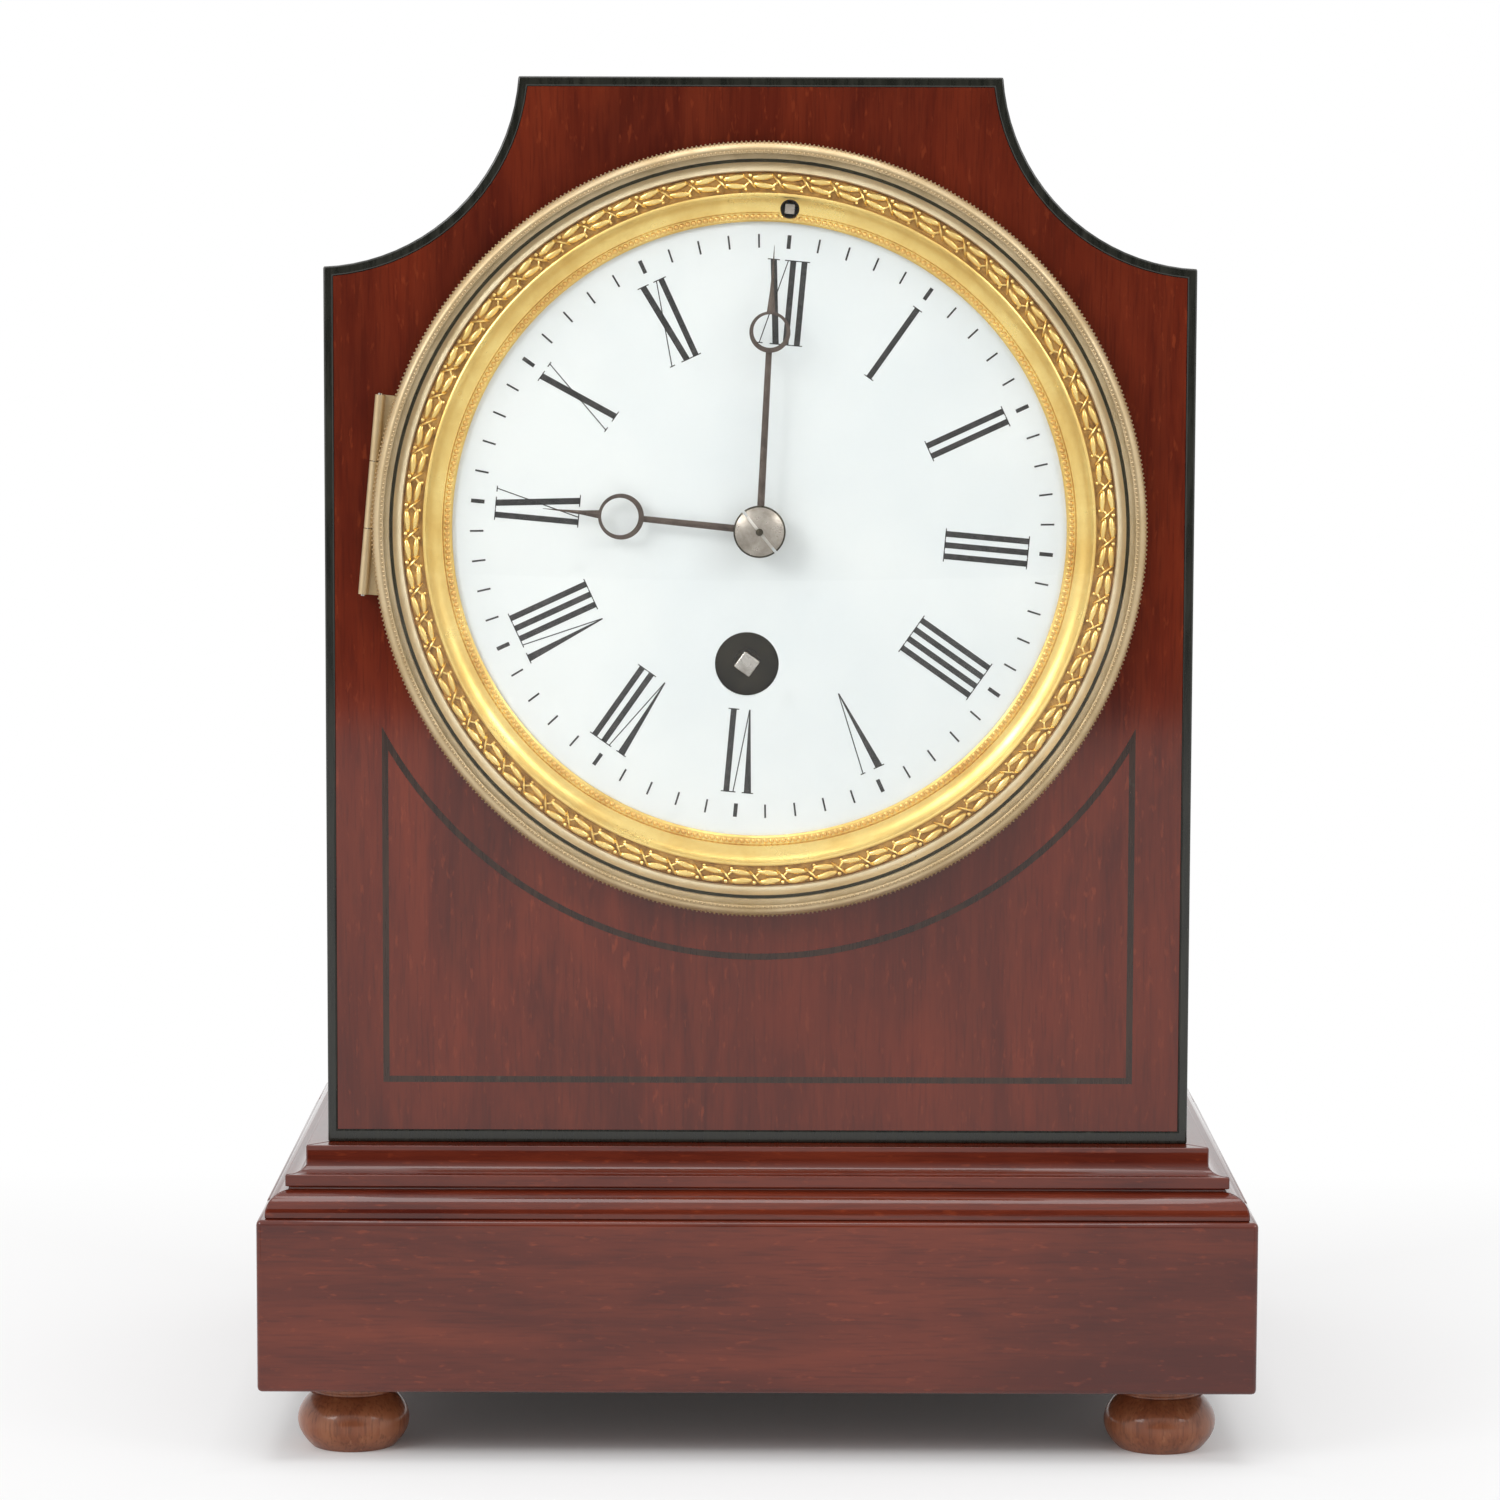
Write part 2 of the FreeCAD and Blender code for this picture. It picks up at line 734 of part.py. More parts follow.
def build_hands():
    hour_low = dialFace - 2.4
    minute_low = dialFace - 4.2
    hour = hand(get("hourLength"), get("hourRing"), get("hourRingRadius"), 3.6, 2.4, hour_low, 1.0)
    solid("hour_hand", hour, hand_place("hourAngle"))
    minute = hand(
        get("minuteLength"),
        get("minuteRing"),
        get("minuteRingRadius"),
        3.4,
        1.3,
        minute_low,
        0.8,
    )
    solid("minute_hand", minute, hand_place("minuteAngle"))
    radius = get("nutRadius")
    dome = Part.makeSphere(radius * 1.45, V(0, minute_low - 1.9 + radius * 1.45, 0))
    nut = rod(radius, minute_low - 2.2, minute_low - 0.05).common(dome)
    slot = turn(block(-radius, radius, minute_low - 3, minute_low - 1.2, -0.2, 0.2), 48)
    seat = rod(get("arborRadius") + fit, minute_low - get("arborEnd") - 0.1, minute_low)
    solid("hand_nut", nut.cut([slot, seat]), drum)
    return hour_low, minute_low


# ---- wheels

# tooth heights are in modules and half widths in shares of the pitch: tip, root, pitch, tip width, root width
wheelTooth = (0.75, 1.1, 0.36, 0.14, 0.44)
leafTooth = (0.5, 1.2, 0.34, 0.2, 0.26)


def gear(count, module, phase, low, high, tooth, x=0.0, z=0.0):
    """Toothed disc; "phase" is the angle of one tooth, counter-clockwise from X as seen from the front."""
    radius = count * module / 2
    tip, root, at_pitch, at_tip, at_root = tooth
    pitch = 2 * math.pi / count
    points = []
    for index in range(count):
        angle = math.radians(phase) + index * pitch
        for r, width in (
            (radius - root * module, -at_root),
            (radius, -at_pitch),
            (radius + tip * module, -at_tip),
            (radius + tip * module, at_tip),
            (radius, at_pitch),
            (radius - root * module, at_root),
        ):
            points.append((
                x + r * math.cos(angle + width * pitch / 2),
                z + r * math.sin(angle + width * pitch / 2),
            ))
    return plate_of(points, low, high)


def crossed(wheel, outer, inner, low, high, x, z, spokes=5):
    """Cuts the windows between the arms of a wheel."""
    windows = rod(outer, low - 1, high + 1, x, z).cut(rod(inner, low - 1, high + 1, x, z))
    arms = []
    for index in range(spokes):
        arm = block(x - 0.9, x + 0.9, low - 1, high + 1, z, z + outer + 1)
        arms.append(turn(arm, index * 360 / spokes, x, z))
    return wheel.cut(windows.cut(arms))


def mesh_phase(heading, driver_teeth, driver_phase, teeth):
    """Phase of a wheel that lies at "heading" degrees from its driver, so that their teeth interleave."""
    return heading + 180 - (0.5 + (driver_phase - heading) * driver_teeth / 360) * 360 / teeth


def meeting(ax, az, reach_a, bx, bz, reach_b, side):
    """The point at two given distances from a and b."""
    gap = math.hypot(bx - ax, bz - az)
    along = (reach_a ** 2 - reach_b ** 2 + gap ** 2) / (2 * gap)
    off = side * math.sqrt(reach_a ** 2 - along ** 2)
    ux, uz = (bx - ax) / gap, (bz - az) / gap
    return ax + ux * along - uz * off, az + uz * along + ux * off


def heading(ax, az, bx, bz):
    return math.degrees(math.atan2(bz - az, bx - ax))


def arbor(x, z, low=None, high=None):
    """A spindle between the plates with a pivot at each end."""
    low = plateBack if low is None else low
    high = rearPlate if high is None else high
    end = 0.15
    body = rod(get("arborRadius"), low + end, high - end, x, z)
    pivots = rod(
        get("pivotRadius"),
        low - get("plateThickness") + 0.2,
        high + get("plateThickness") - 0.2,
        x,
        z,
    )
    return body.fuse(pivots)


def at(offset):
    """Depth measured back from the front plate."""
    return plateBack + offset


def build_movement(hour_low, minute_low):
    barrel_at = (0.0, -get("barrelDrop"))
    escape_at = (0.0, get("escapeRise"))
    barrel_reach = (teeth["barrel"] + teeth["secondPinion"]) * get("barrelModule") / 2
    centre_reach = (teeth["second"] + teeth["centrePinion"]) * get("centreModule") / 2
    second_at = meeting(0, 0, centre_reach, *barrel_at, barrel_reach, -1)
    third_reach = (teeth["centre"] + teeth["thirdPinion"]) * get("thirdModule") / 2
    escape_reach = (teeth["third"] + teeth["escapePinion"]) * get("escapeModule") / 2
    third_at = meeting(0, 0, third_reach, *escape_at, escape_reach, -1)
    pallet_at = (0.0, get("palletRise"))

    # barrel and spring
    bx, bz = barrel_at
    drum_radius = teeth["barrel"] * get("barrelModule") / 2 - 1.3
    toothed = gear(teeth["barrel"], get("barrelModule"), 0, at(14.2), at(17), wheelTooth, bx, bz)
    cup = rod(drum_radius, at(2), at(14.6), bx, bz).cut(rod(drum_radius - 1.2, at(1), at(14.2), bx, bz))
    arbor_radius = get("barrelArborRadius")
    arbor_hole = rod(arbor_radius + fit, at(0), at(18), bx, bz)
    solid("barrel", joined([toothed, cup]).cut(arbor_hole), drum)
    cover = rod(drum_radius, at(1), at(2), bx, bz).cut(arbor_hole)
    solid("barrel_cover", cover, drum)
    solid("mainspring", coil(bx, bz, drum_radius - 1.4, at(3), at(13.4)), drum)
    square = get("windingSquare")
    key_end = block(
        bx - square / 2,
        bx + square / 2,
        dialFace - 0.4,
        plateFront - 4.5,
        bz - square / 2,
        bz + square / 2,
    )
    stem = [
        turn(key_end, 31, bx, bz),
        rod(arbor_radius, plateFront - 5, at(17.2), bx, bz),
        rod(get("barrelPivotRadius"), at(17), rearPlate + 1.6, bx, bz),
        rod(4.0, at(4), at(12.4), bx, bz),
    ]
    solid("winding_arbor", joined(stem), drum)
    solid("ratchet_wheel", ratchet(bx, bz).cut(rod(arbor_radius, plateFront - 5, plateFront, bx, bz)), drum)
    click, click_at = click_shape(bx, bz)
    solid("click", click, drum)

    # train
    heading_second = heading(bx, bz, *second_at)
    phase_second = mesh_phase(heading_second, teeth["barrel"], 0, teeth["secondPinion"])
    sx, sz = second_at
    second = [
        arbor(sx, sz),
        gear(teeth["secondPinion"], get("barrelModule"), phase_second, at(13), at(17.8), leafTooth, sx, sz),
        wheel(teeth["second"], get("centreModule"), 0, at(22.4), at(23.6), sx, sz),
    ]
    solid("intermediate_wheel", joined(second), drum)
    phase_centre = mesh_phase(heading(sx, sz, 0, 0), teeth["second"], 0, teeth["centrePinion"])
    pipe_end = minute_low - get("arborEnd")
    centre = [
        arbor(0, 0),
        rod(get("arborRadius"), pipe_end, at(1), 0, 0),
        gear(teeth["centrePinion"], get("centreModule"), phase_centre, at(21), at(25), leafTooth),
        wheel(teeth["centre"], get("thirdModule"), 0, at(18.3), at(19.5), 0, 0),
    ]
    solid("centre_wheel", joined(centre), drum)
    tx, tz = third_at
    phase_third = mesh_phase(heading(0, 0, tx, tz), teeth["centre"], 0, teeth["thirdPinion"])
    third = [
        arbor(tx, tz),
        gear(teeth["thirdPinion"], get("thirdModule"), phase_third, at(17), at(20.6), leafTooth, tx, tz),
        wheel(teeth["third"], get("escapeModule"), 0, at(10), at(10.9), tx, tz),
    ]
    solid("third_wheel", joined(third), drum)
    ex, ez = escape_at
    phase_escape = mesh_phase(heading(tx, tz, ex, ez), teeth["third"], 0, teeth["escapePinion"])
    escape = [
        arbor(ex, ez),
        gear(teeth["escapePinion"], get("escapeModule"), phase_escape, at(8), at(12.5), leafTooth, ex, ez),
        escape_wheel(ex, ez),
    ]
    solid("escape_wheel", joined(escape), drum)
    solid("pallets", pallets(*pallet_at), drum)

    # motion work under the dial
    cannon_low = plateFront - 2.8
    cannon_high = plateFront - 1.4
    pipe_radius = get("cannonPipeRadius")
    pipe = rod(pipe_radius, minute_low, cannon_high).cut(rod(
        get("arborRadius") + fit,
        pipe_end - 1,
        cannon_high + 1,
    ))
    leaves = gear(teeth["cannon"], get("motionModule"), 0, cannon_low, cannon_high, leafTooth).cut(
        rod(pipe_radius - 0.1, cannon_low - 1, cannon_high + 1)
    )
    solid("cannon_pinion", joined([pipe, leaves]), drum)
    motion_reach = (teeth["cannon"] + teeth["minuteWork"]) * get("motionModule") / 2
    mx, mz = -motion_reach * math.sqrt(0.5), motion_reach * math.sqrt(0.5)
    hour_module = 2 * motion_reach / (teeth["minutePinion"] + teeth["hour"])
    phase_minute = mesh_phase(135, teeth["cannon"], 0, teeth["minuteWork"])
    hour_plane = plateFront - 5.2
    minute_work = [
        wheel(teeth["minuteWork"], get("motionModule"), phase_minute, cannon_low, cannon_high, mx, mz),
        gear(teeth["minutePinion"], hour_module, 0, hour_plane, cannon_low + 0.1, leafTooth, mx, mz),
    ]
    stud_hole = rod(get("studRadius") + fit, hour_plane - 1, plateFront, mx, mz)
    solid("minute_wheel", joined(minute_work).cut(stud_hole), drum)
    phase_hour = mesh_phase(-45, teeth["minutePinion"], 0, teeth["hour"])
    hour_wheel = gear(teeth["hour"], hour_module, phase_hour, hour_plane, hour_plane + 1.2, wheelTooth)
    hour_pipe = rod(pipe_radius + 1.1, hour_low, hour_plane + 1.2)
    solid(
        "hour_wheel",
        joined([hour_wheel, hour_pipe]).cut(rod(pipe_radius + fit, hour_low - 1, plateFront)),
        drum,
    )

    build_plates(barrel_at, second_at, third_at, escape_at, pallet_at, (mx, mz), click_at, hour_plane)


def wheel(count, module, phase, low, high, x, z):
    radius = count * module / 2
    return crossed(
        gear(count, module, phase, low, high, wheelTooth, x, z),
        radius - 2.4,
        3.2,
        low,
        high,
        x,
        z,
    )


def coil(x, z, outer, low, high):
    """A spring strip wound in half turns, lying against the barrel wall."""
    strip = 0.5
    step = 1.0
    edges = []
    turns = round(get("mainspringTurns"))
    radius = outer
    centre = x
    side = 1
    outward = []
    inward = []
    for index in range(2 * turns):
        start = V(centre + side * radius, low, z)
        end = V(centre - side * radius, low, z)
        outward.append(Part.Arc(start, V(centre, low, z + side * radius), end).toShape())
        thin = radius - strip
        inward.append(
            Part.Arc(
                V(centre + side * thin, low, z),
                V(centre, low, z + side * thin),
                V(centre - side * thin, low, z),
            ).toShape()
        )
        centre -= side * step / 2
        radius -= step / 2
        side = -side
    first = V(x + outer, low, z)
    edges += outward
    last = outward[-1].Vertexes[-1].Point
    closing = inward[-1].Vertexes[-1].Point
    edges.append(Part.LineSegment(last, closing).toShape())
    edges += inward
    edges.append(Part.LineSegment(V(x + outer - strip, low, z), first).toShape())
    wire = Part.Wire(Part.__sortEdges__(edges))
    return Part.Face(wire).extrude(V(0, high - low, 0))


def ratchet(x, z):
    radius = get("ratchetRadius")
    points = []
    count = teeth["ratchet"]
    for index in range(count):
        angle = math.radians(index * 360 / count)
        points.append((x + radius * math.cos(angle), z + radius * math.sin(angle)))
        notch = angle + math.radians(2)
        points.append((x + (radius - 1.2) * math.cos(notch), z + (radius - 1.2) * math.sin(notch)))
    return plate_of(points, plateFront - 3, plateFront - 1.6)


def click_shape(x, z):
    """The pawl beside the ratchet wheel, with its nose in a notch."""
    radius = get("ratchetRadius")
    low, high = plateFront - 3, plateFront - 1.6
    pivot = (x + radius + 3.4, z + 4.5)
    nose = (x + radius - 0.5, z + 0.85)
    beak = plate_of(
        [
            (nose[0], nose[1]),
            (nose[0] + 2.2, nose[1] - 0.3),
            (pivot[0] + 1.4, pivot[1]),
            (pivot[0] - 1.2, pivot[1] + 0.4),
        ],
        low,
        high,
    )
    boss = rod(1.9, low, high, *pivot)
    return joined([beak, boss]).cut(rod(get("studRadius") + fit, low - 1, high + 1, *pivot)), pivot


def escape_wheel(x, z):
    radius = get("escapeRadius")
    low, high = at(24), at(25)
    count = teeth["escape"]
    points = []
    for index in range(count):
        angle = math.radians(index * 360 / count)
        for r, lead in ((radius - 1.6, -2.6), (radius, -0.3), (radius, 0.3), (radius - 1.6, 0.9)):
            points.append((
                x + r * math.cos(angle + math.radians(lead)),
                z + r * math.sin(angle + math.radians(lead)),
            ))
    return crossed(plate_of(points, low, high), radius - 2.6, 3.0, low, high, x, z, 4)


def pallets(x, z):
    """Anchor over the escape wheel, its arbor, and the crutch that reaches the pendulum behind the plate."""
    low, high = at(24), at(25)
    drop = z - get("escapeRise")
    reach = get("escapeRadius")
    arm = reach * 0.85
    foot = z - drop + reach * 0.82
    anchor = plate_of([(x - arm, foot), (x - arm + 1.4, foot), (x - arm + 2, z - 2.6), (x + arm - 2, z - 2.6),
                       (x + arm - 1.4, foot), (x + arm, foot), (x + arm - 0.3, z - 1), (x + 2, z + 1.5),
                       (x - 2, z + 1.5), (x - arm + 0.3, z - 1)], low, high)
    spindle = rod(get("arborRadius"), at(0.15), rearPlateBack + 2.2, x, z)
    front_pivot = rod(get("pivotRadius"), plateFront + 0.2, at(0.2), x, z)
    rear_pivot = rod(get("pivotRadius"), rearPlateBack + 2, rearPlateBack + 4, x, z)
    crutch = block(x - 0.6, x + 0.6, rearPlateBack + 0.8, rearPlateBack + 1.6, z - 26, z)
    gap = get("rodWidth") / 2 + get("forkClearance")
    fork_y = pendulum_depth()
    cheeks = [block(x + side * gap - (0.8 if side < 0 else 0), x + side * gap + (0.8 if side > 0 else 0),
                    rearPlateBack + 0.8, fork_y + 1.5, z - 26, z - 24.5) for side in (-1, 1)]
    bridge = block(x - gap - 0.8, x + gap + 0.8, rearPlateBack + 0.8, rearPlateBack + 1.6, z - 26, z - 24.5)
    swung = [turn(piece, -get("dialTilt"), x, z) for piece in [crutch, bridge] + cheeks]
    return joined([anchor, spindle, front_pivot, rear_pivot] + swung)


def pendulum_depth():
    return rearPlateBack + 6.0


def build_plates(barrel_at, second_at, third_at, escape_at, pallet_at, stud_at, click_at, hour_plane):
    pivot = get("pivotRadius") + fit
    front = rod(get("frontPlateRadius"), plateFront, plateBack)
    back = rod(get("backPlateRadius"), rearPlate, rearPlateBack)
    low = plateFront - 1
    high = rearPlateBack + 1
    drills = [rod(pivot, low, high, *spot) for spot in (second_at, third_at, escape_at)]
    front_holes = drills + [
        rod(get("barrelArborRadius") + fit, low, plateBack + 1, *barrel_at),
        rod(get("arborRadius") + fit, low, plateBack + 1),
        rod(pivot, low, plateBack + 1, *pallet_at),
        rod(get("regulatorHole"), low, plateBack + 1, 0, get("regulatorRise")),
    ]
    stud = get("studRadius")
    studs = [
        rod(stud, hour_plane - 0.2, plateFront + 1, *stud_at),
        rod(stud, plateFront - 3.4, plateFront + 1, *click_at),
    ]
    solid("front_plate", joined([front.cut(front_holes)] + studs), drum)
    back_holes = drills + [
        rod(get("barrelPivotRadius") + fit, rearPlate - 1, high, *barrel_at),
        rod(pivot, rearPlate - 1, high),
        rod(get("arborRadius") + 1, rearPlate - 1, high, *pallet_at),
    ]
    solid("back_plate", back.cut(back_holes), drum)
    spots = ((-33, 31.3), (33, 31.3), (-36, -27.8), (36, -27.8))
    solid(
        "pillars",
        Part.Compound([rod(get("pillarRadius"), plateBack, rearPlate, x, z) for x, z in spots]),
        drum,
    )


# ---- pendulum, hung from the back plate in the upright, untilted case


def build_pendulum():
    # the suspension point is turned with the movement, and everything below it hangs plumb
    tilt = math.radians(get("dialTilt"))
    rise = get("palletRise")
    hang = V(rise * math.sin(tilt), pendulum_depth(), get("dialHeight") + rise * math.cos(tilt))
    y = hang.y
    rod_half = get("rodWidth") / 2
    length = get("pendulumLength")
    bob_z = hang.z - length
    spring_low = hang.z - get("suspensionLength")
    thread_radius = get("threadRadius")
    hook = block(hang.x - 2, hang.x + 2, y - 1, y + 1, spring_low - 5, spring_low - 0.12)
    thread = Part.makeCylinder(
        thread_radius,
        get("bobRadius") * 2 + 9.2,
        V(hang.x, y, bob_z - get("bobRadius") - 6),
        V(0, 0, 1),
    )
    stem = block(
        hang.x - rod_half,
        hang.x + rod_half,
        y - 0.5,
        y + 0.5,
        bob_z + get("bobRadius") + 2.2,
        spring_low - 4,
    )
    solid("pendulum_rod", joined([hook, stem, thread]))
    strip = block(hang.x - 1.6, hang.x + 1.6, y - 0.1, y + 0.1, spring_low, hang.z + 2)
    solid("suspension_spring", strip)
    half = get("bobThickness") / 2
    bob = rod(get("bobRadius"), y - half, y + half, hang.x, bob_z)
    bore = Part.makeCylinder(
        thread_radius + fit,
        4 * get("bobRadius"),
        V(hang.x, y, bob_z - 2 * get("bobRadius")),
        V(0, 0, 1),
    )
    solid("pendulum_bob", bob.cut(bore))
    nut_top = bob_z - get("bobRadius") - 0.1
    nut = Part.makeCylinder(3.0, 2.2, V(hang.x, y, nut_top - 2.2), V(0, 0, 1))
    solid("rating_nut", nut.cut(bore))
    build_suspension(hang)


def build_suspension(hang):
    """Slide with the spring's grip, the cock that guides it, and the arbor that raises and lowers it."""
    rise = get("palletRise")
    y = pendulum_depth()
    reg = get("regulatorRise")
    low = rise + 2.4
    grip_back = y + 1.4
    half = get("slideHalfWidth")
    slide = block(-half, half, y - 1.4, grip_back, low, low + 9)
    slot = block(-1.8, 1.8, y - 0.2, y + 0.2, low - 1, low + 1.5)
    module = get("regulatorModule")
    rack_x = teeth["regulator"] * module / 2
    rack = [block(rack_x + 0.6, rack_x + 2.0, y - 1.4, grip_back, low + 6.8, reg + 5)]
    pitch = math.pi * module
    for index in range(-3, 4):
        z = reg + index * pitch
        rack.append(plate_of(
            [
                (rack_x + 0.7, z - 0.36),
                (rack_x - 0.2, z - 0.12),
                (rack_x - 0.2, z + 0.12),
                (rack_x + 0.7, z + 0.36),
            ],
            y - 1.4,
            grip_back,
        ))
    foot = block(1.0, rack_x + 2.0, y - 1.4, grip_back, low + 6.8, low + 9)
    solid("suspension_slide", joined([slide.cut(slot), foot] + rack), drum)
    pinion = gear(teeth["regulator"], module, 18.0, y - 1.2, y + 1.2, leafTooth, 0, reg)
    stem = rod(get("studRadius"), dialFace - 1.2, y + 3.0, 0, reg)
    square = block(-0.9, 0.9, dialFace - 1.4, dialFace + 4, reg - 0.9, reg + 0.9)
    solid("regulator_arbor", joined([pinion, stem, square]), drum)
    guide = get("slideClearance")
    base = rearPlateBack
    lugs = [block(side * (half + guide) - (3 if side < 0 else 0), side * (half + guide) + (3 if side > 0 else 0),
                  base, grip_back + 1.6, low + 0.5, low + 5) for side in (-1, 1)]
    bridge = block(-5.4, 5.4, grip_back + guide, grip_back + 1.6, low + 0.5, low + 5)
    arm = block(-5.4, -3.2, grip_back + guide, grip_back + 1.6, low + 0.5, reg + 3)
    head = block(-5.4, 2.6, grip_back + guide, grip_back + 1.6, reg - 3, reg + 3)
    ear = block(-5.4, 5.4, base + 2.4, base + 4.2, rise - 2.6, low + 5)
    holes = [
        rod(get("studRadius") + fit, y, grip_back + 3, 0, reg),
        rod(get("pivotRadius") + fit, base, base + 5, 0, rise),
    ]
    solid("back_cock", joined(lugs + [bridge, arm, head, ear]).cut(holes), drum)


# ---- back of the case


def build_back():
    flange_back = caseBack + get("flangeThickness")
    skirt = get("rearSkirt")
    bore = get("rearHole") - 2.6
    inner_end = caseBack - get("wall") - 6
    ring = rod(get("rearRadius"), caseBack, flange_back).fuse(rod(skirt, inner_end, caseBack + 0.5))
    ring = ring.cut(rod(bore, inner_end - 1, flange_back + 1))
    strap_out = get("strapRadius") + get("strapThickness")
    width = get("strapWidth") / 2
    hinge = get("rearRadius") + 0.6
    hinge_depth = flange_back + 0.3
    half = get("rearHingeLength") / 2
    middle = half / 3
    bosses = [
        block(strap_out, bore + 0.6, inner_end, inner_end + 6, -width, width),
        block(-bore - 0.6, -strap_out, inner_end, inner_end + 6, -width, width),
    ]
    knuckles = []
    for low, high in ((-half, -middle - 0.15), (middle + 0.15, half)):
        knuckles.append(Part.makeCylinder(
            get("knuckleRadius"),
            high - low,
            V(hinge, hinge_depth, low),
            V(0, 0, 1),
        ))
        knuckles.append(block(hinge - 8, hinge, caseBack, flange_back, low, high))
    pin = Part.makeCylinder(get("hingePin") + fit, 2 * half, V(hinge, hinge_depth, -half), V(0, 0, 1))
    clear = rod(bore, inner_end + 6.2, flange_back + 1)
    room = Part.makeCylinder(
        get("knuckleRadius") + 0.3,
        2 * middle + 0.3,
        V(hinge, hinge_depth, -middle - 0.15),
        V(0, 0, 1),
    )
    spindle = Part.makeCylinder(
        get("hingePin"),
        2 * half + 0.6,
        V(hinge, hinge_depth, -half - 0.3),
        V(0, 0, 1),
    )
    solid(
        "rear_ring",
        ring.fuse(bosses).cut([clear, room]).fuse(knuckles + [spindle]).removeSplitter(),
        drum,
    )
    cover_low = flange_back + 0.3
    radius = get("coverRadius")
    wall = get("coverWall")
    cover_back = cover_low + get("coverDepth")
    disc = rod(radius, cover_low, cover_back).cut(rod(radius - wall, cover_low - 1, cover_back - wall))
    leaf = block(radius - 3, hinge, cover_low, cover_low + 0.9, -middle, middle)
    relief = Part.makeCylinder(
        get("knuckleRadius") + 0.3,
        2 * half + 1,
        V(hinge, hinge_depth, -half - 0.5),
        V(0, 0, 1),
    )
    knuckle = Part.makeCylinder(
        get("knuckleRadius"),
        2 * middle,
        V(hinge, hinge_depth, -middle),
        V(0, 0, 1),
    )
    knob = rod(get("knobRadius"), cover_low + 2.5, cover_low + 6, -radius + 7, 0)
    solid("rear_cover", disc.cut(relief).fuse([leaf, knuckle, knob]).cut(pin).removeSplitter(), drum)
    for name, side in (("strap_left", -1), ("strap_right", 1)):
        near, far = sorted((side * get("strapRadius"), side * strap_out))
        toe_near, toe_far = sorted((side * strap_out, side * (get("skirtRadius") - 1)))
        strap = block(near, far, plateFront, inner_end + 6, -width, width)
        toe = block(toe_near, toe_far, plateFront, plateFront + 1, -width, width)
        solid(name, strap.fuse(toe).removeSplitter(), drum)


build_feet()
build_plinth()
build_mouldings()
build_case()
build_dial()
build_bezel()
hour_low, minute_low = build_hands()
build_movement(hour_low, minute_low)
build_pendulum()
build_back()

doc.recompute()
for item in doc.Objects:
    if "Invalid" in item.State or "Error" in item.State:
        raise RuntimeError("failed: " + item.Label)
for item in parts:
    if item.Shape.isNull() or not item.Shape.isValid():
        raise RuntimeError("bad shape: " + item.Label)
os.makedirs("parts", exist_ok=True)
for item in parts:
    item.Shape.exportStep(os.path.join("parts", item.Label + ".step"))
print("%d parts" % len(parts))
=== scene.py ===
import math

import bmesh
import bpy
from mathutils import Matrix, Vector


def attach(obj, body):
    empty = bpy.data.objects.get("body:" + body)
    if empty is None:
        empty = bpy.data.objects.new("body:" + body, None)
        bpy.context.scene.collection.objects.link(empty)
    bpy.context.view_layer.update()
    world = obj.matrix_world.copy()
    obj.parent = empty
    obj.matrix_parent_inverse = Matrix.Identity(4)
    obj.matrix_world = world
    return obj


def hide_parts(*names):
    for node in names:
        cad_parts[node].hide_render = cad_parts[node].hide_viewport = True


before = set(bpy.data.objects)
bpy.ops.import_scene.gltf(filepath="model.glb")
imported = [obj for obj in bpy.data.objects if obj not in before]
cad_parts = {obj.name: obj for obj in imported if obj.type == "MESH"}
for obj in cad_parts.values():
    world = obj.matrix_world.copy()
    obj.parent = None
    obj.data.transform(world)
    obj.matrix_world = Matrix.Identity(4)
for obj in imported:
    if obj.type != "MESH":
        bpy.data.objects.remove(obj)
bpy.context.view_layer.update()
print("packed clock loaded,", len(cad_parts), "nodes")

mm = 0.001
fullTurn = 2 * math.pi
axisGap = 0.001  # spun sections start this far from their axis, in mm


def turnedBy(angle, axis):
    return Matrix.Rotation(math.radians(angle), 4, axis)


def moved(across, depth, up):
    # a shift in millimetres
    return Matrix.Translation((across * mm, depth * mm, up * mm))


# the dial, its rings and the hands share this axis: X right, Z up, -Y towards the viewer, sizes in mm
dialPlace = {"height": 178.2, "lean": 5.2}
drum = moved(0, 0, dialPlace["height"]) @ turnedBy(dialPlace["lean"], "Y")


# camera
cameraSet = {"place": (-0.00167, -1.005618, 0.234196), "lens": 118.76, "pitch": 84.053, "roll": 0.176}
cameraData = bpy.data.cameras.new("camera")
cameraData.lens = cameraSet["lens"]
cameraData.sensor_width = 36
cameraData.clip_start = 0.01
cameraData.clip_end = 50
camera = bpy.data.objects.new("camera", cameraData)
bpy.context.scene.collection.objects.link(camera)
tilt = turnedBy(cameraSet["pitch"], "X") @ turnedBy(cameraSet["roll"], "Z")
camera.matrix_world = Matrix.Translation(cameraSet["place"]) @ tilt
bpy.context.scene.camera = camera
bpy.context.scene.view_settings.view_transform = "Standard"


def tone(red, green, blue):
    # screen values 0 to 255 as the linear colour a shader takes
    parts = [value / 255 for value in (red, green, blue)]
    return tuple(part / 12.92 if part < 0.04 else ((part + 0.055) / 1.055) ** 2.4 for part in parts) + (1.0,)


def addNode(tree, kind, inputs=None, **settings):
    made = tree.nodes.new(kind)
    for key, value in settings.items():
        setattr(made, key, value)
    for key, value in (inputs or {}).items():
        if isinstance(value, bpy.types.NodeSocket):
            tree.links.new(value, made.inputs[key])
        else:
            made.inputs[key].default_value = value
    return made


def mixColour(tree, amount, first, second):
    made = addNode(tree, "ShaderNodeMix", {0: amount, 6: first, 7: second}, data_type="RGBA")
    return made.outputs[2]


def calc(tree, kind, first, second=0.0, clamp=False):
    return addNode(tree, "ShaderNodeMath", {0: first, 1: second}, operation=kind, use_clamp=clamp).outputs[0]


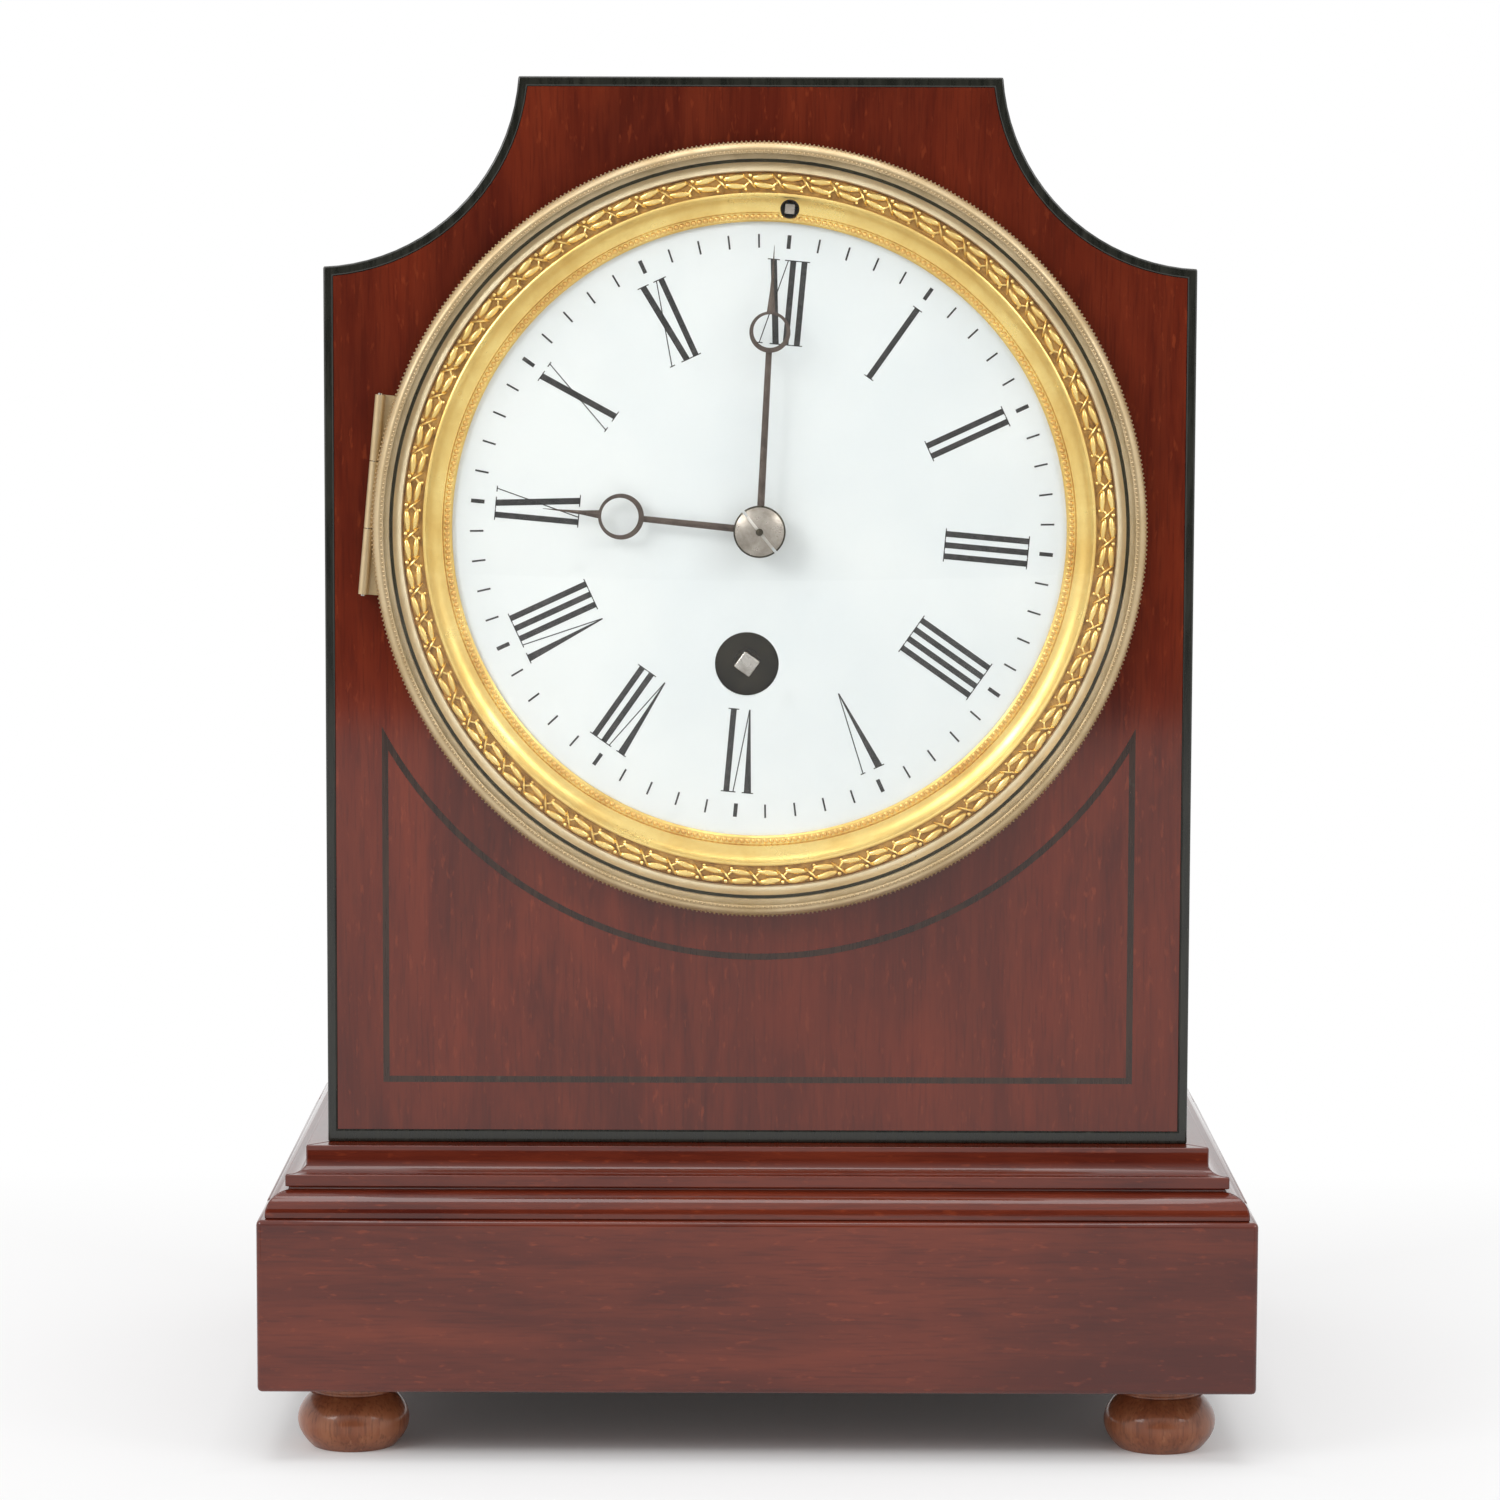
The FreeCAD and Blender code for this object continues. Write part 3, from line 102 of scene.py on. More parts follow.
def fade(tree, value, low, high, start=0.0, end=1.0):
    # straight change from start to end while value goes from low to high
    inputs = {"Value": value, "From Min": low, "From Max": high, "To Min": start, "To Max": end}
    return addNode(tree, "ShaderNodeMapRange", inputs, clamp=True).outputs[0]


def noise(tree, where, scale, detail=4.0, rough=0.55, bend=0.0):
    inputs = {"Vector": where, "Scale": scale, "Detail": detail, "Roughness": rough, "Distortion": bend}
    return addNode(tree, "ShaderNodeTexNoise", inputs).outputs["Fac"]


def startMaterial(name):
    material = bpy.data.materials.new(name)
    material.use_nodes = True
    tree = material.node_tree
    shader = tree.nodes["Principled BSDF"]
    place = addNode(tree, "ShaderNodeTexCoord").outputs["Object"]
    return material, tree, shader, place


def addBump(tree, shader, height, strength, distance=0.0001, socket="Normal"):
    bump = addNode(tree, "ShaderNodeBump", {"Height": height, "Strength": strength, "Distance": distance})
    tree.links.new(bump.outputs[0], shader.inputs[socket])


def seenDirect(tree, mirrors=True):
    # 1 where the eye, a mirror or glass looks straight at the surface
    path = addNode(tree, "ShaderNodeLightPath")
    matt = calc(tree, "MINIMUM", path.outputs["Diffuse Depth"], 1.0)
    clear = calc(tree, "MULTIPLY", path.outputs["Is Transmission Ray"], calc(tree, "SUBTRACT", 1.0, matt))
    seen = calc(tree, "ADD", path.outputs["Is Camera Ray"], clear, clamp=True)
    return calc(tree, "ADD", seen, path.outputs["Is Glossy Ray"], clamp=True) if mirrors else seen


studio = {
    "floorFront": -1.5,
    "floorReach": 3.0,
    "footprint": (0.0955, 0.078),
    # glow levels of the floor: painted shade under the clock, painted light farther out
    "underGlow": 0.02,
    "nearGlow": 0.55,
    "shadowEdge": (0.82, 1.12),
    "whitening": (1.1, 2.8),
    "dark": 0.02,
    "darkEdge": (-0.93, -0.8),
    "fill": 0.62,
    "aim": (0, 0, 0.13),
}


def buildFloor():
    material, tree, shader, place = startMaterial("paleFloor")
    shader.inputs["Base Color"].default_value = (0.8, 0.8, 0.8, 1)
    shader.inputs["Roughness"].default_value = 0.9
    shader.inputs["Specular IOR Level"].default_value = 0.1
    glow = addNode(tree, "ShaderNodeEmission", {"Color": (1, 1, 1, 1), "Strength": 1.0})
    # painted light and shade: the floor's glow grows away from the clock, so the far floor is whiter than the
    # lamps make it, and all but stops under the clock, which deepens the shadow there
    spot = addNode(tree, "ShaderNodeSeparateXYZ", {0: place})
    wide, deep = studio["footprint"]
    across = calc(tree, "DIVIDE", calc(tree, "ABSOLUTE", spot.outputs[0]), wide)
    along = calc(tree, "DIVIDE", calc(tree, "ABSOLUTE", spot.outputs[1]), deep)
    away = calc(tree, "MAXIMUM", across, along)
    under = fade(tree, away, *studio["shadowEdge"], studio["underGlow"], studio["nearGlow"])
    far = fade(tree, away, *studio["whitening"], 0.0, 1.0 - studio["nearGlow"])
    amount = calc(tree, "MULTIPLY", seenDirect(tree), calc(tree, "ADD", under, far))
    both = addNode(tree, "ShaderNodeMixShader", {0: amount, 1: shader.outputs[0], 2: glow.outputs[0]})
    tree.links.new(both.outputs[0], tree.nodes["Material Output"].inputs["Surface"])
    shape = bmesh.new()
    bmesh.ops.create_grid(shape, x_segments=1, y_segments=1, size=1)
    reach = studio["floorReach"]
    length = (reach - studio["floorFront"]) / 2
    bmesh.ops.scale(shape, vec=(reach, length, 1), verts=shape.verts)
    bmesh.ops.translate(shape, vec=(0, studio["floorFront"] + length, 0), verts=shape.verts)
    mesh = bpy.data.meshes.new("floor")
    shape.to_mesh(mesh)
    shape.free()
    mesh.materials.append(material)
    floor = bpy.data.objects.new("floor", mesh)
    bpy.context.scene.collection.objects.link(floor)


def buildWorld():
    world = bpy.data.worlds.new("studio")
    bpy.context.scene.world = world
    world.use_nodes = True
    tree = world.node_tree
    back = tree.nodes["Background"]
    path = addNode(tree, "ShaderNodeLightPath")
    around = addNode(tree, "ShaderNodeTexCoord").outputs["Generated"]
    heading = addNode(tree, "ShaderNodeSeparateXYZ", {0: around})
    # the room in front of the clock is dark, the sides and the back are white
    front = fade(tree, heading.outputs[1], *studio["darkEdge"], studio["dark"], 1.0)
    direct = seenDirect(tree, mirrors=False)
    mirrored = calc(tree, "MULTIPLY", path.outputs["Is Glossy Ray"], front)
    seen = calc(tree, "MAXIMUM", direct, mirrored)
    plain = calc(tree, "MULTIPLY", calc(tree, "SUBTRACT", 1.0, path.outputs["Is Glossy Ray"]), studio["fill"])
    tree.links.new(calc(tree, "MAXIMUM", seen, plain), back.inputs["Strength"])
    back.inputs["Color"].default_value = (1, 1, 1, 1)


lamps = {
    "lampLeft": {"place": (-1.1, -0.9, 1.0), "size": 0.7, "power": 9.5},
    "lampRight": {"place": (1.1, -0.8, 0.95), "size": 0.6, "power": 4.5},
    "lampTop": {"place": (0.0, -0.1, 1.6), "size": 1.0, "power": 9.5},
}


def buildLamps():
    for name, lamp in lamps.items():
        data = bpy.data.lights.new(name, "AREA")
        data.shape = "SQUARE"
        data.size = lamp["size"]
        data.energy = lamp["power"]
        item = bpy.data.objects.new(name, data)
        bpy.context.scene.collection.objects.link(item)
        aim = Vector(studio["aim"]) - Vector(lamp["place"])
        facing = aim.to_track_quat("-Z", "Y").to_matrix().to_4x4()
        item.matrix_world = Matrix.Translation(lamp["place"]) @ facing


buildFloor()
buildWorld()
buildLamps()
print("studio ready")


def grainPlace(tree, place, along, stretch):
    # squeezes the pattern so that it runs long in the direction of the grain
    scale = {"x": (stretch, 1, 1), "y": (1, stretch, 1), "z": (1, 1, stretch)}[along]
    return addNode(tree, "ShaderNodeMapping", {"Vector": place, "Scale": scale}).outputs[0]


def makeWood(name, look):
    material, tree, shader, place = startMaterial(name)
    along = look["along"]
    inputs = {"Vector": place, "Location": look.get("shift", (0, 0, 0))}
    shift = addNode(tree, "ShaderNodeMapping", inputs).outputs[0]
    figure = noise(tree, grainPlace(tree, shift, along, 0.3), 36, 4, 0.6, 0.9)
    streaks = noise(tree, grainPlace(tree, shift, along, 0.09), 230, 5, 0.65, 0.6)
    pores = noise(tree, grainPlace(tree, shift, along, 0.06), 1900, 2, 0.5)
    flecks = noise(tree, grainPlace(tree, shift, along, 0.3), 900, 2, 0.6)
    cloud = noise(tree, grainPlace(tree, shift, along, 0.6), 16, 3, 0.55, 0.6)
    body = mixColour(tree, fade(tree, figure, 0.35, 0.68), look["dark"], look["body"])
    streaked = fade(tree, streaks, 0.42, 0.72, 0.0, look.get("streak", 0.55))
    body = mixColour(tree, streaked, body, look["light"])
    body = mixColour(tree, fade(tree, streaks, 0.46, 0.3, 0.0, look.get("shade", 0.28)), body, look["dark"])
    body = mixColour(tree, fade(tree, pores, 0.5, 0.34, 0.0, look.get("pore", 0.4)), body, look["poreTone"])
    body = mixColour(tree, fade(tree, flecks, 0.62, 0.74, 0.0, 0.5), body, look["light"])
    body = mixColour(tree, fade(tree, cloud, 0.35, 0.65, 0.0, look.get("cloud", 0.25)), body, look["dark"])
    tree.links.new(body, shader.inputs["Base Color"])
    shine = fade(tree, noise(tree, shift, 45, 3, 0.6), 0.3, 0.7, look["rough"] - 0.06, look["rough"] + 0.06)
    tree.links.new(shine, shader.inputs["Roughness"])
    shader.inputs["Specular IOR Level"].default_value = look.get("specular", 0.25)
    shader.inputs["Coat Weight"].default_value = look.get("polish", 1.0)
    shader.inputs["Coat Roughness"].default_value = look.get("polishRough", 0.07)
    shader.inputs["Coat IOR"].default_value = 1.5
    addBump(tree, shader, pores, 0.25)
    wave = noise(tree, grainPlace(tree, shift, along, 0.4), 30, 2, 0.5)
    film = calc(tree, "ADD", wave, calc(tree, "MULTIPLY", pores, 0.04))
    addBump(tree, shader, film, 0.1, 0.0006, "Coat Normal")
    return material


mahoganyTones = {
    "dark": tone(76, 22, 11),
    "body": tone(117, 41, 19),
    "light": tone(142, 60, 31),
    "poreTone": tone(62, 20, 12),
    "rough": 0.42,
    "streak": 0.32,
    "shade": 0.22,
    "pore": 0.32,
    "specular": 0.06,
    "cloud": 0.4,
}
caseWood = makeWood("caseMahogany", {**mahoganyTones, "along": "z"})
railTones = {**mahoganyTones, "body": tone(109, 42, 23)}
crossWood = makeWood("railMahogany", {**railTones, "along": "x", "shift": (0.31, 0.12, 0.07)})
returnWood = makeWood("returnMahogany", {**railTones, "along": "y", "shift": (0.13, 0.41, 0.2)})
footWood = makeWood(
    "footBeech",
    {
        "along": "z",
        "dark": tone(100, 50, 28),
        "body": tone(154, 88, 54),
        "light": tone(178, 116, 78),
        "poreTone": tone(80, 40, 24),
        "rough": 0.45,
        "polish": 0.6,
        "polishRough": 0.15,
    },
)
plainWood = makeWood(
    "secondaryOak",
    {
        "along": "z",
        "dark": tone(92, 62, 38),
        "body": tone(136, 98, 62),
        "light": tone(162, 124, 84),
        "poreTone": tone(64, 42, 26),
        "rough": 0.6,
        "polish": 0.1,
        "polishRough": 0.3,
    },
)


def makeEbony(name, dark, light):
    material, tree, shader, place = startMaterial(name)
    fine = noise(tree, grainPlace(tree, place, "z", 0.1), 900, 3, 0.6)
    worn = noise(tree, place, 160, 4, 0.7)
    body = mixColour(tree, fade(tree, fine, 0.35, 0.7), dark, light)
    # greyish patches at random: worn finish, and in part a painted sheen standing in for the grey highlight
    # on the stringing
    body = mixColour(tree, fade(tree, worn, 0.66, 0.8, 0.0, 0.25), body, tone(110, 112, 98))
    tree.links.new(body, shader.inputs["Base Color"])
    tree.links.new(fade(tree, fine, 0.3, 0.7, 0.2, 0.38), shader.inputs["Roughness"])
    shader.inputs["Coat Weight"].default_value = 0.6
    shader.inputs["Coat Roughness"].default_value = 0.1
    shader.inputs["Specular IOR Level"].default_value = 0.3
    addBump(tree, shader, fine, 0.04)
    return material


def makeMetal(name, look):
    material, tree, shader, place = startMaterial(name)
    soil = noise(tree, place, look.get("soilScale", 90), 5, 0.65, 0.3)
    fine = noise(tree, place, 1500, 3, 0.6)
    body = mixColour(tree, fade(tree, soil, 0.4, 0.75), look["body"], look["soil"])
    body = mixColour(tree, fade(tree, fine, 0.6, 0.8, 0.0, 0.4), body, look["soil"])
    tree.links.new(body, shader.inputs["Base Color"])
    shader.inputs["Metallic"].default_value = look.get("metal", 1.0)
    rough = look["rough"]
    tree.links.new(fade(tree, soil, 0.3, 0.7, rough * 0.8, rough * 1.35), shader.inputs["Roughness"])
    grain = fine
    if look.get("spun"):
        # fine rings left by the lathe, round the dial axis
        lean = math.radians(-dialPlace["lean"])
        inputs = {"Vector": place, "Location": (0, 0, -dialPlace["height"] * mm), "Scale": (1, 0, 1)}
        home = addNode(tree, "ShaderNodeMapping", inputs)
        turn = addNode(tree, "ShaderNodeMapping", {"Vector": home.outputs[0], "Rotation": (0, lean, 0)})
        length = addNode(tree, "ShaderNodeVectorMath", {0: turn.outputs[0]}, operation="LENGTH")
        away = length.outputs["Value"]
        inputs = {"W": away, "Scale": 6000, "Detail": 2}
        rings = addNode(tree, "ShaderNodeTexNoise", inputs, noise_dimensions="1D")
        grain = calc(tree, "ADD", calc(tree, "MULTIPLY", fine, 0.4), rings.outputs["Fac"])
    if look.get("shadeRadius"):
        # painted shade: darker where the bezel covers it
        edge = look["shadeRadius"] * mm
        body = mixColour(tree, fade(tree, away, edge - 0.2 * mm, edge), look["inside"], body)
        tree.links.new(body, shader.inputs["Base Color"])
    addBump(tree, shader, grain, look.get("bump", 0.12))
    return material


giltBright = makeMetal(
    "giltBright",
    {"body": tone(244, 214, 134), "soil": tone(222, 182, 100), "rough": 0.3, "spun": True},
)
giltLeaf = makeMetal(
    "giltLeaf",
    {"body": tone(248, 218, 140), "soil": tone(222, 182, 102), "rough": 0.26, "bump": 0.2},
)
# painted shade: the ground between the laurel is a darker matt gold, standing in for the shade in the trough
# as well as its own matt finish
giltShadedGround = makeMetal(
    "giltShadedGround",
    {"body": tone(188, 144, 78), "soil": tone(128, 90, 42), "rough": 0.5, "soilScale": 400},
)
giltBead = makeMetal(
    "giltBead",
    {"body": tone(240, 200, 122), "soil": tone(208, 158, 88), "rough": 0.3},
)
giltPale = makeMetal(
    "giltPale",
    {"body": tone(246, 228, 190), "soil": tone(230, 206, 160), "rough": 0.34, "spun": True, "metal": 0.5},
)
oldBrass = makeMetal(
    "oldBrass",
    {"body": tone(110, 98, 60), "soil": tone(72, 64, 40), "rough": 0.45, "metal": 0.7},
)
# painted shade: dark brown brass for the inside of the regulating hole
shadedBoreBrass = makeMetal(
    "shadedBoreBrass",
    {"body": tone(70, 52, 38), "soil": tone(42, 32, 26), "rough": 0.5, "metal": 0.5},
)
rimBrass = makeMetal(
    "rimBrass",
    {"body": tone(208, 186, 148), "soil": tone(190, 166, 124), "rough": 0.44, "metal": 0.7, "spun": True},
)
drumBrass = makeMetal(
    "drumBrass",
    {
        "body": tone(206, 184, 146),
        "soil": tone(184, 160, 118),
        "rough": 0.46,
        "metal": 0.7,
        "spun": True,
        # painted shade under the bezel's edge, in a dark olive tone
        "shadeRadius": 73.2,
        "inside": tone(74, 70, 44),
    },
)
movementBrass = makeMetal(
    "movementBrass",
    {"body": tone(222, 184, 104), "soil": tone(180, 138, 70), "rough": 0.34, "soilScale": 60},
)
# painted shade: dark steel standing in for the shade deep in the winding hole and on the nut's rim and pit
shadedSteel = makeMetal(
    "shadedSteel",
    {"body": tone(58, 52, 38), "soil": tone(34, 31, 24), "rough": 0.42, "metal": 0.6},
)
brightSteel = makeMetal(
    "brightSteel",
    {"body": tone(200, 196, 190), "soil": tone(146, 140, 132), "rough": 0.24, "soilScale": 240},
)
nutSteel = makeMetal(
    "nutSteel",
    {"body": tone(176, 168, 158), "soil": tone(128, 120, 110), "rough": 0.3, "soilScale": 260},
)
# painted highlight: pale steel for the floor of the nut's slot, standing in for the bright line of light
# along it
slotHighlight = makeMetal(
    "slotHighlight",
    {"body": tone(240, 236, 228), "soil": tone(214, 208, 198), "rough": 0.5, "metal": 0.2},
)
darkSteel = makeMetal(
    "darkSteel",
    {"body": tone(98, 86, 78), "soil": tone(66, 56, 50), "rough": 0.36, "soilScale": 320, "metal": 0.6},
)


def makeEnamel():
    material, tree, shader, place = startMaterial("dialEnamel")
    cloud = noise(tree, place, 22, 3, 0.5)
    smudge = noise(tree, place, 75, 2, 0.4)
    body = mixColour(tree, fade(tree, cloud, 0.35, 0.65), tone(238, 242, 241), tone(228, 234, 235))
    body = mixColour(tree, fade(tree, smudge, 0.7, 0.85, 0.0, 0.6), body, tone(206, 212, 212))
    tree.links.new(body, shader.inputs["Base Color"])
    tree.links.new(fade(tree, smudge, 0.3, 0.7, 0.3, 0.4), shader.inputs["Roughness"])
    addBump(tree, shader, cloud, 0.05, 0.001)
    return material


def makePaint():
    material, tree, shader, place = startMaterial("numeralPaint")
    worn = noise(tree, place, 700, 3, 0.6)
    body = mixColour(tree, fade(tree, worn, 0.4, 0.75), tone(28, 27, 26), tone(66, 64, 62))
    tree.links.new(body, shader.inputs["Base Color"])
    tree.links.new(fade(tree, worn, 0.3, 0.7, 0.3, 0.5), shader.inputs["Roughness"])
    return material


def makeGlass():
    material, tree, shader, place = startMaterial("dialGlass")
    shader.inputs["Base Color"].default_value = (0.99, 0.995, 0.99, 1)
    shader.inputs["Transmission Weight"].default_value = 1.0
    shader.inputs["IOR"].default_value = 1.3
    smear = noise(tree, place, 40, 3, 0.6)
    tree.links.new(fade(tree, smear, 0.45, 0.8, 0.0, 0.05), shader.inputs["Roughness"])
    path = addNode(tree, "ShaderNodeLightPath")
    clear = addNode(tree, "ShaderNodeBsdfTransparent", {"Color": (0.97, 0.97, 0.97, 1)})
    inputs = {0: path.outputs["Is Shadow Ray"], 1: shader.outputs[0], 2: clear.outputs[0]}
    both = addNode(tree, "ShaderNodeMixShader", inputs)
    tree.links.new(both.outputs[0], tree.nodes["Material Output"].inputs["Surface"])
    return material


ebony = makeEbony("ebonisedLine", tone(28, 29, 24), tone(42, 42, 35))
inlayLine = makeEbony("inlayLine", tone(44, 28, 20), tone(64, 42, 30))
enamel = makeEnamel()
paint = makePaint()
glass = makeGlass()

nodeFinish = {
    caseWood: ["front_panel", "side_left", "side_right", "shoulder_left", "shoulder_right"],
    crossWood: ["plinth_front", "plinth_back", "moulding_front", "moulding_back", "top_board"],
    returnWood: ["plinth_left", "plinth_right", "moulding_left", "moulding_right"],
    plainWood: ["back_panel", "base_board"],
    ebony: ["edge_stringing"],
    inlayLine: ["panel_stringing"],
    footWood: ["foot_front_left", "foot_front_right", "foot_back_left", "foot_back_right"],
    giltBright: ["sight_ring"],
    rimBrass: ["bezel", "glass_ring", "rear_ring", "rear_cover"],
    drumBrass: ["front_ring"],
    oldBrass: ["strap_left", "strap_right"],
    enamel: ["enamel_dial"],
    glass: ["bezel_glass"],
    darkSteel: ["hour_hand", "minute_hand", "mainspring"],
    # painted shade: the ratchet and click lie deep in the case, behind the winding hole
    shadedSteel: ["ratchet_wheel", "click"],
    brightSteel: ["hand_nut", "winding_arbor", "suspension_spring", "pallets", "hinge_pin"],
    nutSteel: ["regulator_arbor"],
}
finishOf = {name: material for material, names in nodeFinish.items() for name in names}
for name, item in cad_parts.items():
    item.data.materials.clear()
    item.data.materials.append(finishOf.get(name, movementBrass))
print("materials made")


def finishPiece(name, shape, materials, body, nodes=(), place=None, sharp=32):
    if place is not None:
        bmesh.ops.transform(shape, matrix=place, verts=shape.verts)
    bmesh.ops.remove_doubles(shape, verts=shape.verts, dist=1e-6)
    bmesh.ops.recalc_face_normals(shape, faces=shape.faces)
    mesh = bpy.data.meshes.new(name)
    shape.to_mesh(mesh)
    shape.free()
    for material in materials:
        mesh.materials.append(material)
    for face in mesh.polygons:
        face.use_smooth = True
    mesh.set_sharp_from_angle(angle=math.radians(sharp))
    piece = bpy.data.objects.new(name, mesh)
    bpy.context.scene.collection.objects.link(piece)
    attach(piece, body)
    if nodes:
        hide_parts(*nodes)
    return piece


def markFaces(shape, before, index):
    for face in set(shape.faces) - before:
        face.material_index = index


def arcPoints(start, end, bulge, count):
    # points of a shallow arc between two (depth, radius) points, bulging towards the viewer when bulge > 0
    points = []
    for step in range(count + 1):
        share = step / count
        lift = bulge * 4 * share * (1 - share)
        points.append((start[0] + (end[0] - start[0]) * share - lift, start[1] + (end[1] - start[1]) * share))
    return points


def spinSection(shape, points, steps, index=0, closed=True, centre=(0, 0)):
    before = set(shape.faces)
    middle = Vector((centre[0], 0, centre[1])) * mm
    corners = [shape.verts.new(middle + Vector((0, depth, radius)) * mm) for depth, radius in points]
    pairs = zip(corners, corners[1:] + corners[:1] if closed else corners[1:])
    edges = [shape.edges.new(pair) for pair in pairs]
    bmesh.ops.spin(
        shape,
        geom=corners + edges,
        cent=middle,
        axis=(0, 1, 0),
        dvec=(0, 0, 0),
        angle=fullTurn,
        steps=steps,
        use_merge=True,
    )
    markFaces(shape, before, index)


def repeatRound(shape, before, count, left=0):
    # copies what was added since "before" round the dial axis, with the last "left" places empty
    geom = [item for kind in (shape.verts, shape.edges, shape.faces) for item in kind if item not in before]
    bmesh.ops.spin(
        shape,
        geom=geom,
        cent=(0, 0, 0),
        axis=(0, 1, 0),
        dvec=(0, 0, 0),
        angle=fullTurn * (count - 1 - left) / count,
        steps=count - 1 - left,
        use_duplicate=True,
    )


def allGeometry(shape):
    return set(shape.verts) | set(shape.edges) | set(shape.faces)


def addBall(shape, centre, size, turned=0.0, index=0, segments=(8, 6)):
    # flattened ball: centre (x, depth, z) and size (half width, half depth, half height) in mm
    before = set(shape.faces)
    place = Matrix.Translation(Vector(centre) * mm) @ turnedBy(turned, "Y")
    stretch = Matrix.Diagonal((size[0] * mm, size[1] * mm, size[2] * mm, 1))
    around, along = segments
    bmesh.ops.create_uvsphere(shape, u_segments=around, v_segments=along, radius=1, matrix=place @ stretch)
    markFaces(shape, before, index)


def softened(name, nodeName, material, body, width, segments=3, limit=40):
    # copy of a plain CAD piece with its arrises eased
    shape = bmesh.new()
    shape.from_mesh(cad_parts[nodeName].data)
    bmesh.ops.remove_doubles(shape, verts=shape.verts, dist=2e-6)
    bmesh.ops.dissolve_limit(shape, angle_limit=math.radians(0.5), verts=shape.verts, edges=shape.edges)
    piece = finishPiece(name, shape, [material], body, [nodeName], sharp=limit)
    ease = piece.modifiers.new("eased", "BEVEL")
    ease.width = width * mm
    ease.segments = segments
    ease.limit_method = "ANGLE"
    ease.angle_limit = math.radians(limit)
    return piece


# the fixed ring under the glass
sightRing = {
    "inner": 58.4,
    "outer": 69.6,
    "face": -64.42,
    "steps": 240,
    "keyHole": (1.8, 61.0),
    # pairs are (in front of the face, out from the inner edge)
    "lip": ((3.85, 4.85), (3.95, 5.15), (3.8, 5.4), (3.3, 5.6)),
    # pairs are (in front of the face, smaller than the hole)
    "bush": ((2.2, 0.02), (0.1, 0.02), (0.1, 0.22), (2.0, 0.14)),
    "beads": 330,
    "bead": {"front": 1.0, "out": 0.95, "size": (0.5, 0.42, 0.52)},
    "repeats": 77,
    # two leaves, two turns of the ribbon, two pearls: (across, in front, out), size, turned
    "laurel": (
        ((-0.1, 3.7, 8.35), (2.2, 0.55, 0.66), -6),
        ((0.1, 3.65, 6.75), (2.1, 0.55, 0.62), 7),
        ((2.72, 3.8, 7.5), (1.95, 0.6, 0.3), 52),
        ((2.2, 3.6, 7.0), (0.8, 0.5, 0.3), -40),
        ((2.9, 3.85, 8.55), (0.42, 0.42, 0.42), 0),
        ((1.9, 3.6, 6.05), (0.35, 0.36, 0.3), 0),
    ),
}


def boreThrough(shape, radius, out, low, high):
    # cuts a round hole along the dial axis, "out" above the centre, and gives the cut shape back
    def asObject(name, form):
        mesh = bpy.data.meshes.new(name)
        form.to_mesh(mesh)
        form.free()
        item = bpy.data.objects.new(name, mesh)
        bpy.context.scene.collection.objects.link(item)
        return item

    bmesh.ops.remove_doubles(shape, verts=shape.verts, dist=1e-6)
    bmesh.ops.recalc_face_normals(shape, faces=shape.faces)
    drill = bmesh.new()
    place = moved(0, (low + high) / 2, out) @ turnedBy(90, "X")
    bmesh.ops.create_cone(
        drill,
        cap_ends=True,
        segments=40,
        radius1=radius * mm,
        radius2=radius * mm,
        depth=(high - low) * mm,
        matrix=place,
    )
    blank = asObject("blank", shape)
    tool = asObject("drill", drill)
    cut = blank.modifiers.new("cut", "BOOLEAN")
    cut.operation = "DIFFERENCE"
    cut.object = tool
    cut.solver = "EXACT"
    bpy.context.view_layer.update()
    result = bpy.data.meshes.new_from_object(blank.evaluated_get(bpy.context.evaluated_depsgraph_get()))
    fresh = bmesh.new()
    fresh.from_mesh(result)
    for item in (blank, tool):
        bpy.data.objects.remove(item, do_unlink=True)
    bpy.data.meshes.remove(result)
    return fresh


